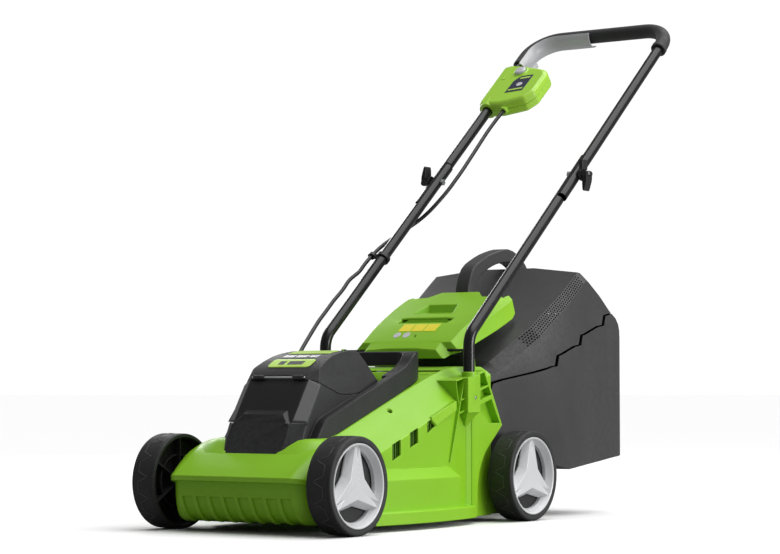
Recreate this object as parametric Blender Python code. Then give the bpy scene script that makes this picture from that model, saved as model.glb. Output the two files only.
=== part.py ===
"""Push lawn mower with a battery hood, rear discharge flap, grass collector and folding handle.

Model frame: metres, +Z up, -Y is the front, +X is the operator's left hand side seen from the handle's open side.
Every length below is in the working frame, whose y = 0 is half way between the axles and whose z = 0 is the ground.
The parent empty `mower` then moves the whole object so that its origin is the middle of its footprint.
"""

import math

import bmesh
import bpy
import numpy as np
from mathutils import Vector

# ---------------------------------------------------------------- driving dimensions
WHEEL_R = 0.075
WHEEL_OUT = 0.1925          # outer face of a wheel from the centre plane
WHEEL_IN = 0.1479           # inner face of the tyre
AXLE_R = 0.005
AXLE_Z = 0.075
HALF_BASE = 0.247           # half of the wheelbase
TUBE_R = 0.0095
TUBE_WALL = 0.0015
LOWER_X = 0.1460            # centre plane of a lower handle tube
UPPER_X = 0.1490            # centre plane of an upper handle tube
LAP_X = 0.1475              # plane where the two tubes lap
HANDLE_Z0 = 0.2036          # height of the handle plane at y = 0
HANDLE_SLOPE = 0.849
PIVOT_S = 0.6055            # along the handle plane, from y = 0
BAR_S = 1.0723
BEND_R = 0.058
SLEEVE_R = 0.0135
BLADE_Y = -0.035
BLADE_R = 0.150
FLOOR_TOP = 0.1185
FLAP_AXIS = (0.1520, 0.2830)
CAM_X = 0.1700               # the cam lever turns about a cross pin in the bolt's eye
LID_AXIS = (-0.1965, 0.2372)
GAP = 0.0003
CENTRE_Y = -0.25406         # moves the footprint's middle to the origin

TH = math.atan(HANDLE_SLOPE)
S_DIR = np.array([0.0, math.cos(TH), math.sin(TH)])
N_DIR = np.array([0.0, -math.sin(TH), math.cos(TH)])
H0 = np.array([0.0, 0.0, HANDLE_Z0])


def hp(x, s, n=0.0):
    """A point in handle coordinates: across, along the tubes, and out of their plane."""
    return tuple(np.array([x, 0.0, 0.0]) + H0 + s * S_DIR + n * N_DIR)


PIVOT = hp(0.0, PIVOT_S)

# ---------------------------------------------------------------- start clean
for old in list(bpy.data.objects):
    bpy.data.objects.remove(old, do_unlink=True)
scene = bpy.context.scene
scene.unit_settings.scale_length = 1.0

MATERIALS = {
    "green": ((0.26, 0.57, 0.03), 0.38, 0.0),
    "black": ((0.018, 0.018, 0.020), 0.45, 0.0),
    "dark": ((0.035, 0.035, 0.037), 0.55, 0.0),
    "tube": ((0.012, 0.012, 0.013), 0.30, 0.2),
    "foam": ((0.02, 0.02, 0.022), 0.75, 0.0),
    "silver": ((0.62, 0.63, 0.65), 0.35, 0.6),
    "white": ((0.62, 0.62, 0.66), 0.35, 0.0),
    "steel": ((0.55, 0.56, 0.58), 0.3, 1.0),
    "board": ((0.02, 0.16, 0.07), 0.5, 0.0),
    "lime": ((0.55, 0.83, 0.10), 0.4, 0.0),
    "red": ((0.5, 0.03, 0.02), 0.4, 0.0),
    "tyre": ((0.016, 0.016, 0.017), 0.6, 0.0),
}
MADE = {}


def material(key):
    if key not in MADE:
        colour, rough, metal = MATERIALS[key]
        mat = bpy.data.materials.new(key)
        mat.use_nodes = True
        shader = mat.node_tree.nodes["Principled BSDF"]
        shader.inputs["Base Color"].default_value = (*colour, 1.0)
        shader.inputs["Roughness"].default_value = rough
        shader.inputs["Metallic"].default_value = metal
        mat.diffuse_color = (*colour, 1.0)
        MADE[key] = mat
    return MADE[key]


# ---------------------------------------------------------------- shape helpers, all return (points, faces)
def prism(poly, axis, a, b):
    """A polygon extruded along x, y or z. The polygon's two coordinates are the other two axes in order."""
    k = "xyz".index(axis)
    points = []
    for d in (a, b):
        for p, q in poly:
            c = [p, q]
            c.insert(k, d)
            points.append(tuple(c))
    n = len(poly)
    faces = [tuple(range(n)), tuple(range(2 * n - 1, n - 1, -1))]
    faces += [(i, (i + 1) % n, n + (i + 1) % n, n + i) for i in range(n)]
    return points, faces


def box(x0, x1, y0, y1, z0, z1):
    return prism([(y0, z0), (y1, z0), (y1, z1), (y0, z1)], "x", x0, x1)


def loft(rings):
    n = len(rings[0])
    points = [p for ring in rings for p in ring]
    faces = [tuple(range(n)), tuple(range(len(points) - 1, len(points) - n - 1, -1))]
    for r in range(len(rings) - 1):
        for i in range(n):
            j = (i + 1) % n
            faces.append((r * n + i, r * n + j, (r + 1) * n + j, (r + 1) * n + i))
    return points, faces


def frame_of(axis):
    """Two directions square to the axis."""
    axis = np.array(axis, float) / np.linalg.norm(axis)
    side = np.cross(axis, (0.0, 0.0, 1.0))
    if np.linalg.norm(side) < 0.05:
        side = np.cross(axis, (1.0, 0.0, 0.0))
    side /= np.linalg.norm(side)
    return axis, side, np.cross(axis, side)


def turned(profile, centre, axis, steps):
    """A closed profile of (radius, distance along the axis), turned round the axis. Radius 0 closes on the axis."""
    axis, u, v = frame_of(axis)
    centre = np.array(centre, float)
    points, index = [], []
    for r, d in profile:
        if r < 1e-7:
            index.append([len(points)] * steps)
            points.append(tuple(centre + d * axis))
            continue
        index.append(list(range(len(points), len(points) + steps)))
        for k in range(steps):
            a = 2 * math.pi * k / steps
            points.append(tuple(centre + d * axis + r * (math.cos(a) * u + math.sin(a) * v)))
    faces = []
    for i in range(len(profile)):
        one, two = index[i], index[(i + 1) % len(profile)]
        for k in range(steps):
            m = (k + 1) % steps
            corner = []
            for c in (one[k], one[m], two[m], two[k]):
                if c not in corner:
                    corner.append(c)
            if len(corner) > 2:
                faces.append(tuple(corner))
    return points, faces


def rod(a, b, r, steps=16, bore=0.0):
    a, b = np.array(a, float), np.array(b, float)
    length = float(np.linalg.norm(b - a))
    if bore:
        profile = [(bore, 0), (r, 0), (r, length), (bore, length)]
    else:
        profile = [(0, 0), (r, 0), (r, length), (0, length)]
    return turned(profile, a, b - a, steps)


def carried_frames(path):
    """A frame at each path point that doesn't twist."""
    path = [np.array(p, float) for p in path]
    tangents = []
    for i in range(len(path)):
        a = path[i] - path[i - 1] if i else path[1] - path[0]
        b = path[i + 1] - path[i] if i < len(path) - 1 else a
        t = a / np.linalg.norm(a) + b / np.linalg.norm(b)
        tangents.append(t / np.linalg.norm(t))
    _, u, _ = frame_of(tangents[0])
    frames = []
    for i, t in enumerate(tangents):
        u = u - t * np.dot(u, t)
        u = u / np.linalg.norm(u)
        if i in (0, len(path) - 1):
            k = 1.0
        else:
            d = path[i] - path[i - 1]
            k = 1.0 / max(0.5, float(np.dot(d / np.linalg.norm(d), t)))
        frames.append((path[i], t, u, np.cross(t, u), k))
    return frames


def pipe(path, r, steps=14, bore=0.0):
    rings = []
    for c, t, u, v, k in carried_frames(path):
        rings.append([tuple(c + r * (math.cos(a) * u + math.sin(a) * v)) for a in (2 * math.pi * i / steps for i in range(steps))])
    if not bore:
        return loft(rings)
    inner = []
    for c, t, u, v, k in carried_frames(path):
        inner.append([tuple(c + bore * (math.cos(a) * u + math.sin(a) * v)) for a in (2 * math.pi * i / steps for i in range(steps))])
    points = [p for ring in rings + inner for p in ring]
    n, m = steps, len(rings)
    faces = []
    for r_ in range(m - 1):
        for i in range(n):
            j = (i + 1) % n
            faces.append((r_ * n + i, r_ * n + j, (r_ + 1) * n + j, (r_ + 1) * n + i))
            a = m * n
            faces.append((a + r_ * n + i, a + (r_ + 1) * n + i, a + (r_ + 1) * n + j, a + r_ * n + j))
    for i in range(n):
        j = (i + 1) % n
        a = m * n
        faces.append((i, a + i, a + j, j))
        e = (m - 1) * n
        faces.append((e + j, a + e + j, a + e + i, e + i))
    return points, faces


def to_mesh(shape, name="shape"):
    points, faces = shape
    mesh = bpy.data.meshes.new(name)
    mesh.from_pydata([tuple(p) for p in points], [], faces)
    work = bmesh.new()
    work.from_mesh(mesh)
    bmesh.ops.remove_doubles(work, verts=work.verts, dist=1e-7)
    bmesh.ops.dissolve_degenerate(work, edges=work.edges, dist=1e-7)
    bmesh.ops.recalc_face_normals(work, faces=work.faces)
    if work.calc_volume(signed=True) < 0:
        bmesh.ops.reverse_faces(work, faces=work.faces)
    work.to_mesh(mesh)
    work.free()
    return mesh


def combine(first, operation, *others):
    """One shape from several, with exact Booleans."""
    base = bpy.data.objects.new("work", to_mesh(first))
    scene.collection.objects.link(base)
    tools = []
    for k, other in enumerate(others):
        tool = bpy.data.objects.new("tool", to_mesh(other))
        scene.collection.objects.link(tool)
        step = base.modifiers.new("cut%d" % k, "BOOLEAN")
        step.operation = operation
        step.solver = "EXACT"
        step.object = tool
        tools.append(tool)
    bpy.context.view_layer.update()
    graph = bpy.context.evaluated_depsgraph_get()
    result = base.evaluated_get(graph).to_mesh()
    points = [tuple(v.co) for v in result.vertices]
    faces = [tuple(p.vertices) for p in result.polygons]
    base.evaluated_get(graph).to_mesh_clear()
    for item in [base] + tools:
        mesh = item.data
        bpy.data.objects.remove(item, do_unlink=True)
        bpy.data.meshes.remove(mesh)
    return points, faces


def cut(first, *others):
    return combine(first, "DIFFERENCE", *others)


def join(first, *others):
    return combine(first, "UNION", *others)


def common(first, *others):
    return combine(first, "INTERSECT", *others)


def mirrored(shape):
    points, faces = shape
    return [(-x, y, z) for x, y, z in points], [tuple(reversed(f)) for f in faces]


ROOT = bpy.data.objects.new("mower", None)
scene.collection.objects.link(ROOT)
ROOT.location = (0.0, CENTRE_Y, 0.0)


def part(name, shape, colour, origin=(0.0, 0.0, 0.0), smooth=None):
    """A named object whose origin is at its joint axis or at its own centre."""
    points, faces = shape
    o = np.array(origin, float)
    mesh = to_mesh(([tuple(np.array(p) - o) for p in points], faces), name)
    work = bmesh.new()
    work.from_mesh(mesh)
    bmesh.ops.dissolve_limit(work, angle_limit=math.radians(0.3), verts=work.verts, edges=work.edges)
    bmesh.ops.triangulate(work, faces=[f for f in work.faces if len(f.verts) > 4])
    work.to_mesh(mesh)
    work.free()
    obj = bpy.data.objects.new(name, mesh)
    scene.collection.objects.link(obj)
    obj.parent = ROOT
    obj.location = tuple(o)
    obj.data.materials.append(material(colour))
    if smooth:
        mesh.shade_smooth()
        mesh.set_sharp_from_angle(angle=math.radians(smooth))
    return obj


# ---------------------------------------------------------------- deck
def top_z(y):
    """Height of the deck's shoulder edge beside the hood."""
    stations = [(-0.205, 0.1410), (-0.166, 0.1505), (0.052, 0.2309), (0.090, 0.2450), (0.130, 0.2580), (0.205, 0.2580)]
    return float(np.interp(y, [s[0] for s in stations], [s[1] for s in stations]))


def crease_z(y):
    return 0.125 + (y + 0.132) * 0.274


DECK_STATIONS = [  # y, flange, lower wall, upper wall, shoulder
    (-0.2050, 0.1380, 0.1380, 0.1380, 0.1000),
    (-0.1680, 0.1390, 0.1390, 0.1385, 0.0960),
    (-0.1660, 0.1640, 0.1560, 0.1480, 0.0950),
    (-0.1000, 0.1730, 0.1640, 0.1500, 0.0950),
    (-0.0400, 0.1760, 0.1660, 0.1500, 0.0950),
    (0.0200, 0.1735, 0.1640, 0.1500, 0.0960),
    (0.0480, 0.1700, 0.1600, 0.1490, 0.0980),
    (0.0580, 0.1680, 0.1510, 0.1470, 0.0990),
    (0.1000, 0.1570, 0.1430, 0.1420, 0.1040),
    (0.1400, 0.1430, 0.1380, 0.1370, 0.1080),
    (0.1650, 0.1360, 0.1350, 0.1350, 0.1120),
    (0.2050, 0.1340, 0.1340, 0.1340, 0.1140),
]


def deck_ring(y, wf, wl, wu, xs, inset=0.0, floor=False):
    t = inset
    zc, zt = crease_z(y), top_z(y)
    half = [
        (wf - t, 0.0100 - (0.02 if t else 0.0)),
        (wf - t, 0.0270),
        (wl - t, 0.0320),
        (wl - t, 0.0790),
        (wu - t, 0.0960),
        (wu - t, zc - 0.5 * t),
        (xs, zt - 1.2 * t),
    ]
    if t:
        notch = min(xs, 0.0985)
        half += [(notch - 0.0001, zt - 1.2 * t - 0.0006), (notch - 0.0001, 0.1140)]
    return [(x, y, z) for x, z in half] + [(-x, y, z) for x, z in reversed(half)]


outer = loft([deck_ring(*s) for s in DECK_STATIONS])

BUMPER_MID = [(-0.199, 0.0150), (-0.278, 0.0150), (-0.292, 0.0220), (-0.300, 0.0360), (-0.3030, 0.0530), (-0.3040, 0.0780),
              (-0.3155, 0.0800), (-0.3145, 0.0877), (-0.300, 0.0990), (-0.283, 0.1110), (-0.265, 0.1225), (-0.235, 0.1335), (-0.199, 0.1430)]
BUMPER_END = [(-0.199, 0.0150), (-0.252, 0.0150), (-0.262, 0.0220), (-0.269, 0.0360), (-0.2720, 0.0530), (-0.2730, 0.0740),
              (-0.2830, 0.0750), (-0.2820, 0.0830), (-0.274, 0.0970), (-0.263, 0.1100), (-0.247, 0.1210), (-0.228, 0.1300), (-0.199, 0.1380)]
bumper = loft([[(x, y, z) for y, z in prof] for x, prof in ((-0.140, BUMPER_END), (-0.112, BUMPER_MID), (0.112, BUMPER_MID), (0.140, BUMPER_END))])

IN_MID = [(-0.2035, -0.02), (-0.276, -0.02), (-0.276, 0.0185), (-0.290, 0.0255), (-0.2965, 0.0400), (-0.2995, 0.0540), (-0.3000, 0.0790),
          (-0.2960, 0.0960), (-0.281, 0.1060), (-0.262, 0.1120), (-0.2035, 0.1120)]
IN_END = [(-0.2035, -0.02), (-0.249, -0.02), (-0.249, 0.0185), (-0.259, 0.0255), (-0.2655, 0.0400), (-0.2685, 0.0540), (-0.2690, 0.0760),
          (-0.2680, 0.0900), (-0.260, 0.1040), (-0.247, 0.1110), (-0.2035, 0.1120)]
bumper_in = loft([[(x, y, z) for y, z in prof] for x, prof in ((-0.1365, IN_END), (-0.109, IN_MID), (0.109, IN_MID), (0.1365, IN_END))])

inner_stations = [(-0.1975,) + DECK_STATIONS[1][1:]] + [(-0.1680,) + DECK_STATIONS[1][1:], (-0.1625,) + DECK_STATIONS[2][1:]] + DECK_STATIONS[3:10] + [(0.1600, 0.1375, 0.1355, 0.1355, 0.1110)]
inner = loft([deck_ring(*s, inset=0.0035) for s in inner_stations])

# side profile of a handle tower: the front edge, the sloped top, and the arch that clears the rear wheel
arch = [(HALF_BASE + 0.085 * math.cos(a), AXLE_Z + 0.085 * math.sin(a)) for a in (math.radians(d) for d in (100, 115, 130, 145, 160, 175))]
tower_poly = [(0.104, 0.060), (0.104, 0.2390), (0.126, 0.2450), (0.182, 0.2500)] + arch + [(0.1600, 0.060)]
tower = prism(tower_poly, "x", 0.120, 0.1455)
rib_poly = [(0.104, 0.1600), (0.104, 0.2388), (0.140, 0.2450), (0.140, 0.1500), (0.122, 0.1500)]
socket = prism(rib_poly, "x", 0.1300, 0.1590)
fin_one = box(0.1300, 0.1560, 0.139, 0.1950, 0.2150, 0.2180)
fin_two = box(0.1300, 0.1560, 0.139, 0.2050, 0.1960, 0.1990)
carrier = prism([(0.150, 0.012), (0.265, 0.012), (0.265, 0.092), (0.255, 0.100), (0.150, 0.100)], "x", -0.134, 0.134)

hood_pocket = prism([(-0.2655, FLOOR_TOP), (0.0156, FLOOR_TOP), (0.0156, 0.4), (-0.2655, 0.4)], "x", -0.0920, 0.0920)
chute = prism([(0.0187, 0.060), (0.0187, 0.2118), (0.0785, 0.2255), (0.1005, 0.2490), (0.1300, 0.2510), (0.230, 0.2510), (0.230, 0.1080), (0.1700, 0.1080), (0.150, 0.060)], "x", -0.1000, 0.1000)
side_pocket = prism([(0.1375, 0.05), (0.1375, 0.2360), (0.1760, 0.2378), (0.2013, 0.2050), (0.2013, 0.0700), (0.1590, 0.05)], "x", 0.1035, 0.1307)
tower_pocket = prism([(0.1377, 0.11), (0.1377, 0.2340), (0.1765, 0.2400), (0.2100, 0.1870), (0.2130, 0.1640), (0.1970, 0.1560), (0.1800, 0.1360), (0.1690, 0.1150)], "x", 0.1265, 0.1423)
carrier_in = box(-0.130, 0.130, 0.1665, 0.2615, -0.02, 0.0960)
louvres = [prism([(y0, z0), (y0 + 0.0245, z0 + 0.0085), (y0 + 0.0245, z0 + 0.0290), (y0, z0 + 0.0205)], "x", s * 0.140, s * 0.160)
           for s in (1, -1) for y0, z0 in ((-0.1030, 0.1085), (-0.0550, 0.1235), (-0.0070, 0.1385))]
axle_cuts = [rod((-0.2, y, AXLE_Z), (0.2, y, AXLE_Z), AXLE_R + GAP, 12) for y in (-HALF_BASE, HALF_BASE)]
tube_cuts = [rod((s * LOWER_X, 0.1205, 0.1550), (s * LOWER_X, 0.1205, 0.40), TUBE_R + GAP, 16) for s in (1, -1)]
shaft_cut = rod((0, BLADE_Y, 0.08), (0, BLADE_Y, 0.14), 0.0090, 16)
finger_recess = prism([(0.0150, 0.2165), (0.030, 0.2190), (0.0800, 0.2300), (0.1050, 0.2560), (0.1050, 0.30), (0.0150, 0.30)], "x", -0.0680, 0.0680)
flap_seat = prism([(0.1180, 0.2620), (0.135, 0.2560), (0.24, 0.2560), (0.24, 0.32), (0.1180, 0.32)], "x", -0.1275, 0.1275)
rod_cut = rod((-0.16, *FLAP_AXIS), (0.16, *FLAP_AXIS), 0.0026, 10)
side_screw_cuts = [rod((s * 0.1070, -0.049, 0.120), (s * 0.1070, -0.049, 0.22), 0.0045, 10) for s in (1, -1)]
socket_screw_cuts = [rod((s * 0.1530, 0.1205, 0.205), (s * 0.1640, 0.1205, 0.205), 0.0030, 10) for s in (1, -1)]
ear = prism([(0.1420, 0.245), (0.162, 0.245), (0.1575, 0.2850), (0.1560, 0.2870), (0.1480, 0.2870), (0.1465, 0.2850)], "x", 0.1280, 0.1325)
arm_seat = prism([(0.0150, 0.2165), (0.0520, 0.2305), (0.0850, 0.2420), (0.0870, 0.30), (0.0150, 0.30)], "x", -0.0925, 0.0925)

deck = join(outer, bumper, carrier, tower, mirrored(tower), socket, mirrored(socket), fin_one, mirrored(fin_one), fin_two, mirrored(fin_two), ear, mirrored(ear))
deck = cut(deck, inner, bumper_in, carrier_in, chute, side_pocket, mirrored(side_pocket), tower_pocket, mirrored(tower_pocket), hood_pocket, finger_recess, arm_seat, flap_seat, shaft_cut, rod_cut)
deck = cut(deck, *axle_cuts, *tube_cuts, *louvres, *socket_screw_cuts, *side_screw_cuts)
part("deck_shell", deck, "green", (0, 0, 0.1))

# ---------------------------------------------------------------- battery hood and lid
T = 0.0028


def hood_side(t=0.0):
    """Side profile of the hood's raised middle, shrunk by t."""
    base = [(-0.2652, 0.1188), (-0.2630, 0.1300), (-0.2430, 0.1650), (-0.2395, 0.1860), (-0.1950, 0.2385), (-0.1720, 0.2545),
            (-0.1390, 0.2700), (-0.1050, 0.2775), (-0.0760, 0.2800), (-0.0630, 0.2785), (-0.0285, 0.2305), (0.0147, 0.2170), (0.0147, 0.1188)]
    if not t:
        return base
    centre = np.array([-0.12, 0.16])
    points = [np.array(p) for p in base]
    moved = []
    for i, p in enumerate(points):
        a, b = points[i - 1], points[(i + 1) % len(points)]
        d1, d2 = (p - a) / np.linalg.norm(p - a), (b - p) / np.linalg.norm(b - p)
        n1, n2 = np.array([-d1[1], d1[0]]), np.array([-d2[1], d2[0]])
        if np.dot(n1, centre - p) < 0:
            n1 = -n1
        if np.dot(n2, centre - p) < 0:
            n2 = -n2
        n = n1 + n2
        n /= np.linalg.norm(n)
        moved.append(tuple(p + n * t / max(0.4, float(np.dot(n, n1)))))
    return moved


def hood_middle(t=0.0):
    side = prism(hood_side(t), "x", -0.10, 0.10)
    half = [(0.0745 - t, 0.10), (0.0745 - t, 0.2075), (0.0575 - t, 0.2800), (0.0500 - t, 0.30)]
    front = prism(half + [(-x, z) for x, z in reversed(half)], "y", -0.30, 0.10)
    plan = [(-0.0575 + t, -0.30), (0.0575 - t, -0.30), (0.0575 - t, -0.2130), (0.0770 - t, -0.1930 + t), (0.0770 - t, 0.05),
            (-0.0770 + t, 0.05), (-0.0770 + t, -0.1930 + t), (-0.0575 + t, -0.2130)]
    return common(side, front, prism(plan, "z", 0.05, 0.35))


ARM_SIDE = [(-0.2360, 0.1188), (-0.2050, 0.1580), (-0.1890, 0.1735), (0.0280, 0.2477), (0.0430, 0.2580), (0.0520, 0.2740), (0.0600, 0.2803),
            (0.0740, 0.2803), (0.0810, 0.2750), (0.0830, 0.2620), (0.0825, 0.2417), (0.0520, 0.2310), (0.0152, 0.2172), (0.0147, 0.1188)]
arms = prism(ARM_SIDE, "x", -0.0917, 0.0917)
arm_plan = [(-0.0917, -0.30), (0.0917, -0.30), (0.0917, 0.040), (0.0880, 0.058), (0.0780, 0.0720), (0.0620, 0.0800), (0.0450, 0.0828),
            (-0.0450, 0.0828), (-0.0620, 0.0800), (-0.0780, 0.0720), (-0.0880, 0.058), (-0.0917, 0.040)]
arms = common(arms, prism(arm_plan, "z", 0.05, 0.35))
grip_hole = prism([(0.0152, 0.2100), (0.0152, 0.2580), (0.0480, 0.2580), (0.0900, 0.2560), (0.0900, 0.2100)], "x", -0.0700, 0.0700)
grip_well = prism([(-0.0290, 0.2305), (-0.070, 0.32), (0.0520, 0.32), (0.0520, 0.2500), (0.0147, 0.2170)], "x", -0.0700, 0.0700)
arm_hollow = prism([(-0.2290, 0.10), (-0.2290, 0.1210), (-0.2010, 0.1570), (-0.1870, 0.1700), (0.0115, 0.2385), (0.0115, 0.10)], "x", -0.0888, 0.0888)

parting = [(-0.1985, 0.2340), (-0.1760, 0.2095), (-0.1000, 0.2060), (-0.0450, 0.2140), (-0.0300, 0.2290), (-0.0200, 0.2290), (-0.0200, 0.33), (-0.1985, 0.33)]
parting_gap = [(-0.1988, 0.2337), (-0.1762, 0.2091), (-0.1000, 0.2056), (-0.0448, 0.2136), (-0.0297, 0.2286), (-0.0190, 0.2286), (-0.0190, 0.34), (-0.1988, 0.34)]
middle = hood_middle()
middle_in = hood_middle(T)
skirt = prism([(-0.30, 0.05), (0.0118, 0.05), (0.0118, 0.30), (-0.30, 0.30)], "x", -0.12, 0.12)
hollow = common(join(middle_in, arm_hollow, box(-0.0545, 0.0545, -0.2620, 0.0118, 0.10, 0.125)), skirt)
groove = rod((-0.0500, *LID_AXIS), (0.0500, *LID_AXIS), 0.0044, 12)
lid_groove = rod((-0.0300, *LID_AXIS), (0.0300, *LID_AXIS), 0.0044, 12)
knuckles = [rod((s * 0.0290, *LID_AXIS), (s * 0.0480, *LID_AXIS), 0.0038, 12) for s in (1, -1)]
pin_bore = rod((-0.0535, *LID_AXIS), (0.0535, *LID_AXIS), 0.0017, 10)
cable_hole = rod((-0.0960, -0.0340, 0.2140), (-0.0800, -0.0340, 0.2140), 0.0042, 12)

hood = cut(join(middle, cut(arms, grip_well)), grip_hole, prism(parting_gap, "x", -0.0800, 0.0800))
hood = cut(hood, hollow, cable_hole, groove, pin_bore)
lid = cut(common(middle, prism(parting, "x", -0.0800, 0.0800)), middle_in, lid_groove)
lid = cut(join(lid, *knuckles), pin_bore)
part("battery_hood", hood, "black", (0, 0, 0.2))
part("battery_lid", lid, "black", (0, *LID_AXIS))
part("lid_hinge_pin", rod((-0.0520, *LID_AXIS), (0.0520, *LID_AXIS), 0.0014, 8), "steel", (0, *LID_AXIS))


def strip(line, low, high, x0, x1):
    """A plate of even thickness that follows a (y, z) line, from `low` to `high` above it."""
    line = [np.array(p) for p in line]
    normals = []
    for i in range(len(line)):
        parts = []
        if i:
            parts.append(line[i] - line[i - 1])
        if i < len(line) - 1:
            parts.append(line[i + 1] - line[i])
        parts = [np.array([-d[1], d[0]]) / np.linalg.norm(d) for d in parts]
        n = sum(parts) / len(parts)
        normals.append(n / np.dot(n, parts[0]))
    top = [tuple(p + n * high) for p, n in zip(line, normals)]
    bottom = [tuple(p + n * low) for p, n in zip(line, normals)]
    return prism(top + bottom[::-1], "x", x0, x1)


part("lid_badge", strip([(-0.1700, 0.25544), (-0.1390, 0.2700), (-0.1080, 0.27684)], GAP, 0.0011, -0.0400, 0.0400), "lime", (0, *LID_AXIS))
part("battery_pack", prism([(-0.1720, 0.1750), (-0.0800, 0.1750), (-0.0800, 0.2500), (-0.1300, 0.2500), (-0.1720, 0.2330)], "x", -0.0390, 0.0390), "dark", (0, -0.125, 0.21))
part("terminal_block", cut(box(-0.0300, 0.0300, -0.1600, -0.0900, 0.1188, 0.1747), box(-0.0240, 0.0240, -0.1540, -0.0960, 0.110, 0.168)), "black", (0, -0.125, 0.15))
part("control_board", box(-0.0450, 0.0450, -0.2350, -0.1650, 0.1188, 0.1204), "board", (0, -0.20, 0.12))
part("safety_key", prism([(-0.0700, 0.1750), (-0.0560, 0.1750), (-0.0560, 0.2130), (-0.0700, 0.2130)], "x", 0.0480, 0.0560), "red", (0.052, -0.063, 0.19))

# ---------------------------------------------------------------- motor and blade
CX = (0.0, BLADE_Y, 0.0)
UP = (0, 0, 1)
part("motor_can", turned([(0.0054, 0.1188), (0.0410, 0.1188), (0.0410, 0.1600), (0.0360, 0.1680), (0.0, 0.1680), (0.0, 0.1640), (0.0054, 0.1640)], CX, UP, 24), "steel", (0, BLADE_Y, 0.14), 40)
part("motor_shaft", rod((0, BLADE_Y, 0.0590), (0, BLADE_Y, 0.1636), 0.0050, 16), "steel", (0, BLADE_Y, 0.06), 40)
vanes = []
for k in range(6):
    a = 2 * math.pi * k / 6
    c, s_ = math.cos(a), math.sin(a)
    quad = [(0.014, -0.0012), (0.0435, -0.0012), (0.0435, 0.0012), (0.014, 0.0012)]
    vanes.append(prism([(p * c - q * s_, BLADE_Y + p * s_ + q * c) for p, q in quad], "z", 0.0650, 0.0840))
boss = join(turned([(0.0, 0.0620), (0.0450, 0.0620), (0.0450, 0.0655), (0.0170, 0.0655), (0.0170, 0.1080), (0.0, 0.1080)], CX, UP, 20), *vanes)
part("blade_boss", cut(boss, rod((0, BLADE_Y, 0.05), (0, BLADE_Y, 0.12), 0.0053, 16)), "black", (0, BLADE_Y, 0.07))
wing = [(-BLADE_R, -0.022), (-0.128, -0.024), (-0.040, -0.024), (0.040, -0.020), (0.128, -0.020), (BLADE_R, -0.012),
        (BLADE_R, 0.022), (0.128, 0.024), (0.040, 0.024), (-0.040, 0.020), (-0.128, 0.020), (-BLADE_R, 0.012)]
blade = prism([(x, y + BLADE_Y) for x, y in wing], "z", 0.0588, 0.0616)
part("cutting_blade", cut(blade, rod((0, BLADE_Y, 0.05), (0, BLADE_Y, 0.07), 0.0053, 16)), "steel", (0, BLADE_Y, 0.06))
part("blade_bolt", turned([(0.0, 0.0500), (0.0110, 0.0500), (0.0110, 0.0560), (0.0150, 0.0560), (0.0150, 0.0584), (0.0, 0.0584)], CX, UP, 12), "steel", (0, BLADE_Y, 0.055))

# ---------------------------------------------------------------- axles and wheels
for label, y in (("front", -HALF_BASE), ("rear", HALF_BASE)):
    part(label + "_axle", rod((-0.1838, y, AXLE_Z), (0.1838, y, AXLE_Z), AXLE_R, 14), "steel", (0, y, AXLE_Z), 40)
FLAT = WHEEL_R / math.cos(math.pi / 26)      # a wheel rests on one of its flats
TYRE = [(0.0722, 0.1479), (FLAT, 0.1507), (FLAT, 0.1898), (0.0722, WHEEL_OUT), (0.0652, WHEEL_OUT), (0.0652, 0.1740),
        (0.0083, 0.1740), (0.0083, 0.1490), (0.0140, 0.1490), (0.0140, 0.1690), (0.0665, 0.1690), (0.0690, 0.1479)]
for end, y in (("front", -HALF_BASE), ("rear", HALF_BASE)):
    for side, s in (("left", 1), ("right", -1)):
        axis, c, tag = (s, 0, 0), (0, y, AXLE_Z), "_" + end + "_" + side
        o = (s * 0.170, y, AXLE_Z)
        part("wheel" + tag, turned(TYRE, c, axis, 26), "tyre", o, 35)
        part("bush" + tag, turned([(0.0053, 0.1492), (0.0080, 0.1492), (0.0080, 0.1779), (0.0053, 0.1779)], c, axis, 10), "dark", o, 40)
        part("axle_nut" + tag, turned([(0.0062, 0.1784), (0.0095, 0.1784), (0.0095, 0.1830), (0.0062, 0.1830)], c, axis, 6), "steel", o)
        ring = turned([(0.0643, 0.1744), (0.0643, 0.1921), (0.0610, 0.1921), (0.0550, 0.1800), (0.0550, 0.1744)], c, axis, 22)
        plan = []
        for k in range(3):
            a = math.radians(90 + 120 * k)
            for p, q in ((0.0190, -0.0160), (0.0595, -0.0085), (0.0595, 0.0085), (0.0190, 0.0160)):
                plan.append((y + p * math.cos(a) - q * math.sin(a), AXLE_Z + p * math.sin(a) + q * math.cos(a)))
        star = join(ring, prism(plan, "x", *sorted((s * 0.1752, s * 0.1876))))
        well = turned([(0, 0.1700), (0.0125, 0.1700), (0.0125, 0.1842), (0, 0.1842)], c, axis, 12)
        part("star_rim" + tag, cut(star, well), "silver", o)

# ---------------------------------------------------------------- lower and upper handle
VERTEX_S = 0.1205 / math.cos(TH)
BEND = 0.040
reach = BEND * math.tan((math.pi / 2 - TH) / 2)
vertex = np.array([0.1205, HANDLE_Z0 + HANDLE_SLOPE * 0.1205])
middle_of_bend = np.array([0.1205 + BEND, vertex[1] - reach])
lower_path = [(0.1205, 0.1560)]
for k in range(5):
    a = math.pi - (math.pi / 2 - TH) * k / 4
    lower_path.append((middle_of_bend[0] + BEND * math.cos(a), middle_of_bend[1] + BEND * math.sin(a)))
end = hp(0, 0.6520)
lower_path.append((end[1], end[2]))


def slab(x0, x1, s0, s1, n0, n1):
    """A block in handle coordinates."""
    rings = []
    for s in (s0, s1):
        rings.append([hp(x0, s, n0), hp(x1, s, n0), hp(x1, s, n1), hp(x0, s, n1)])
    return loft(rings)


def bolt_hole(side, r=0.0033):
    return rod((side * 0.12, PIVOT[1], PIVOT[2]), (side * 0.18, PIVOT[1], PIVOT[2]), r, 12)


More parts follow.
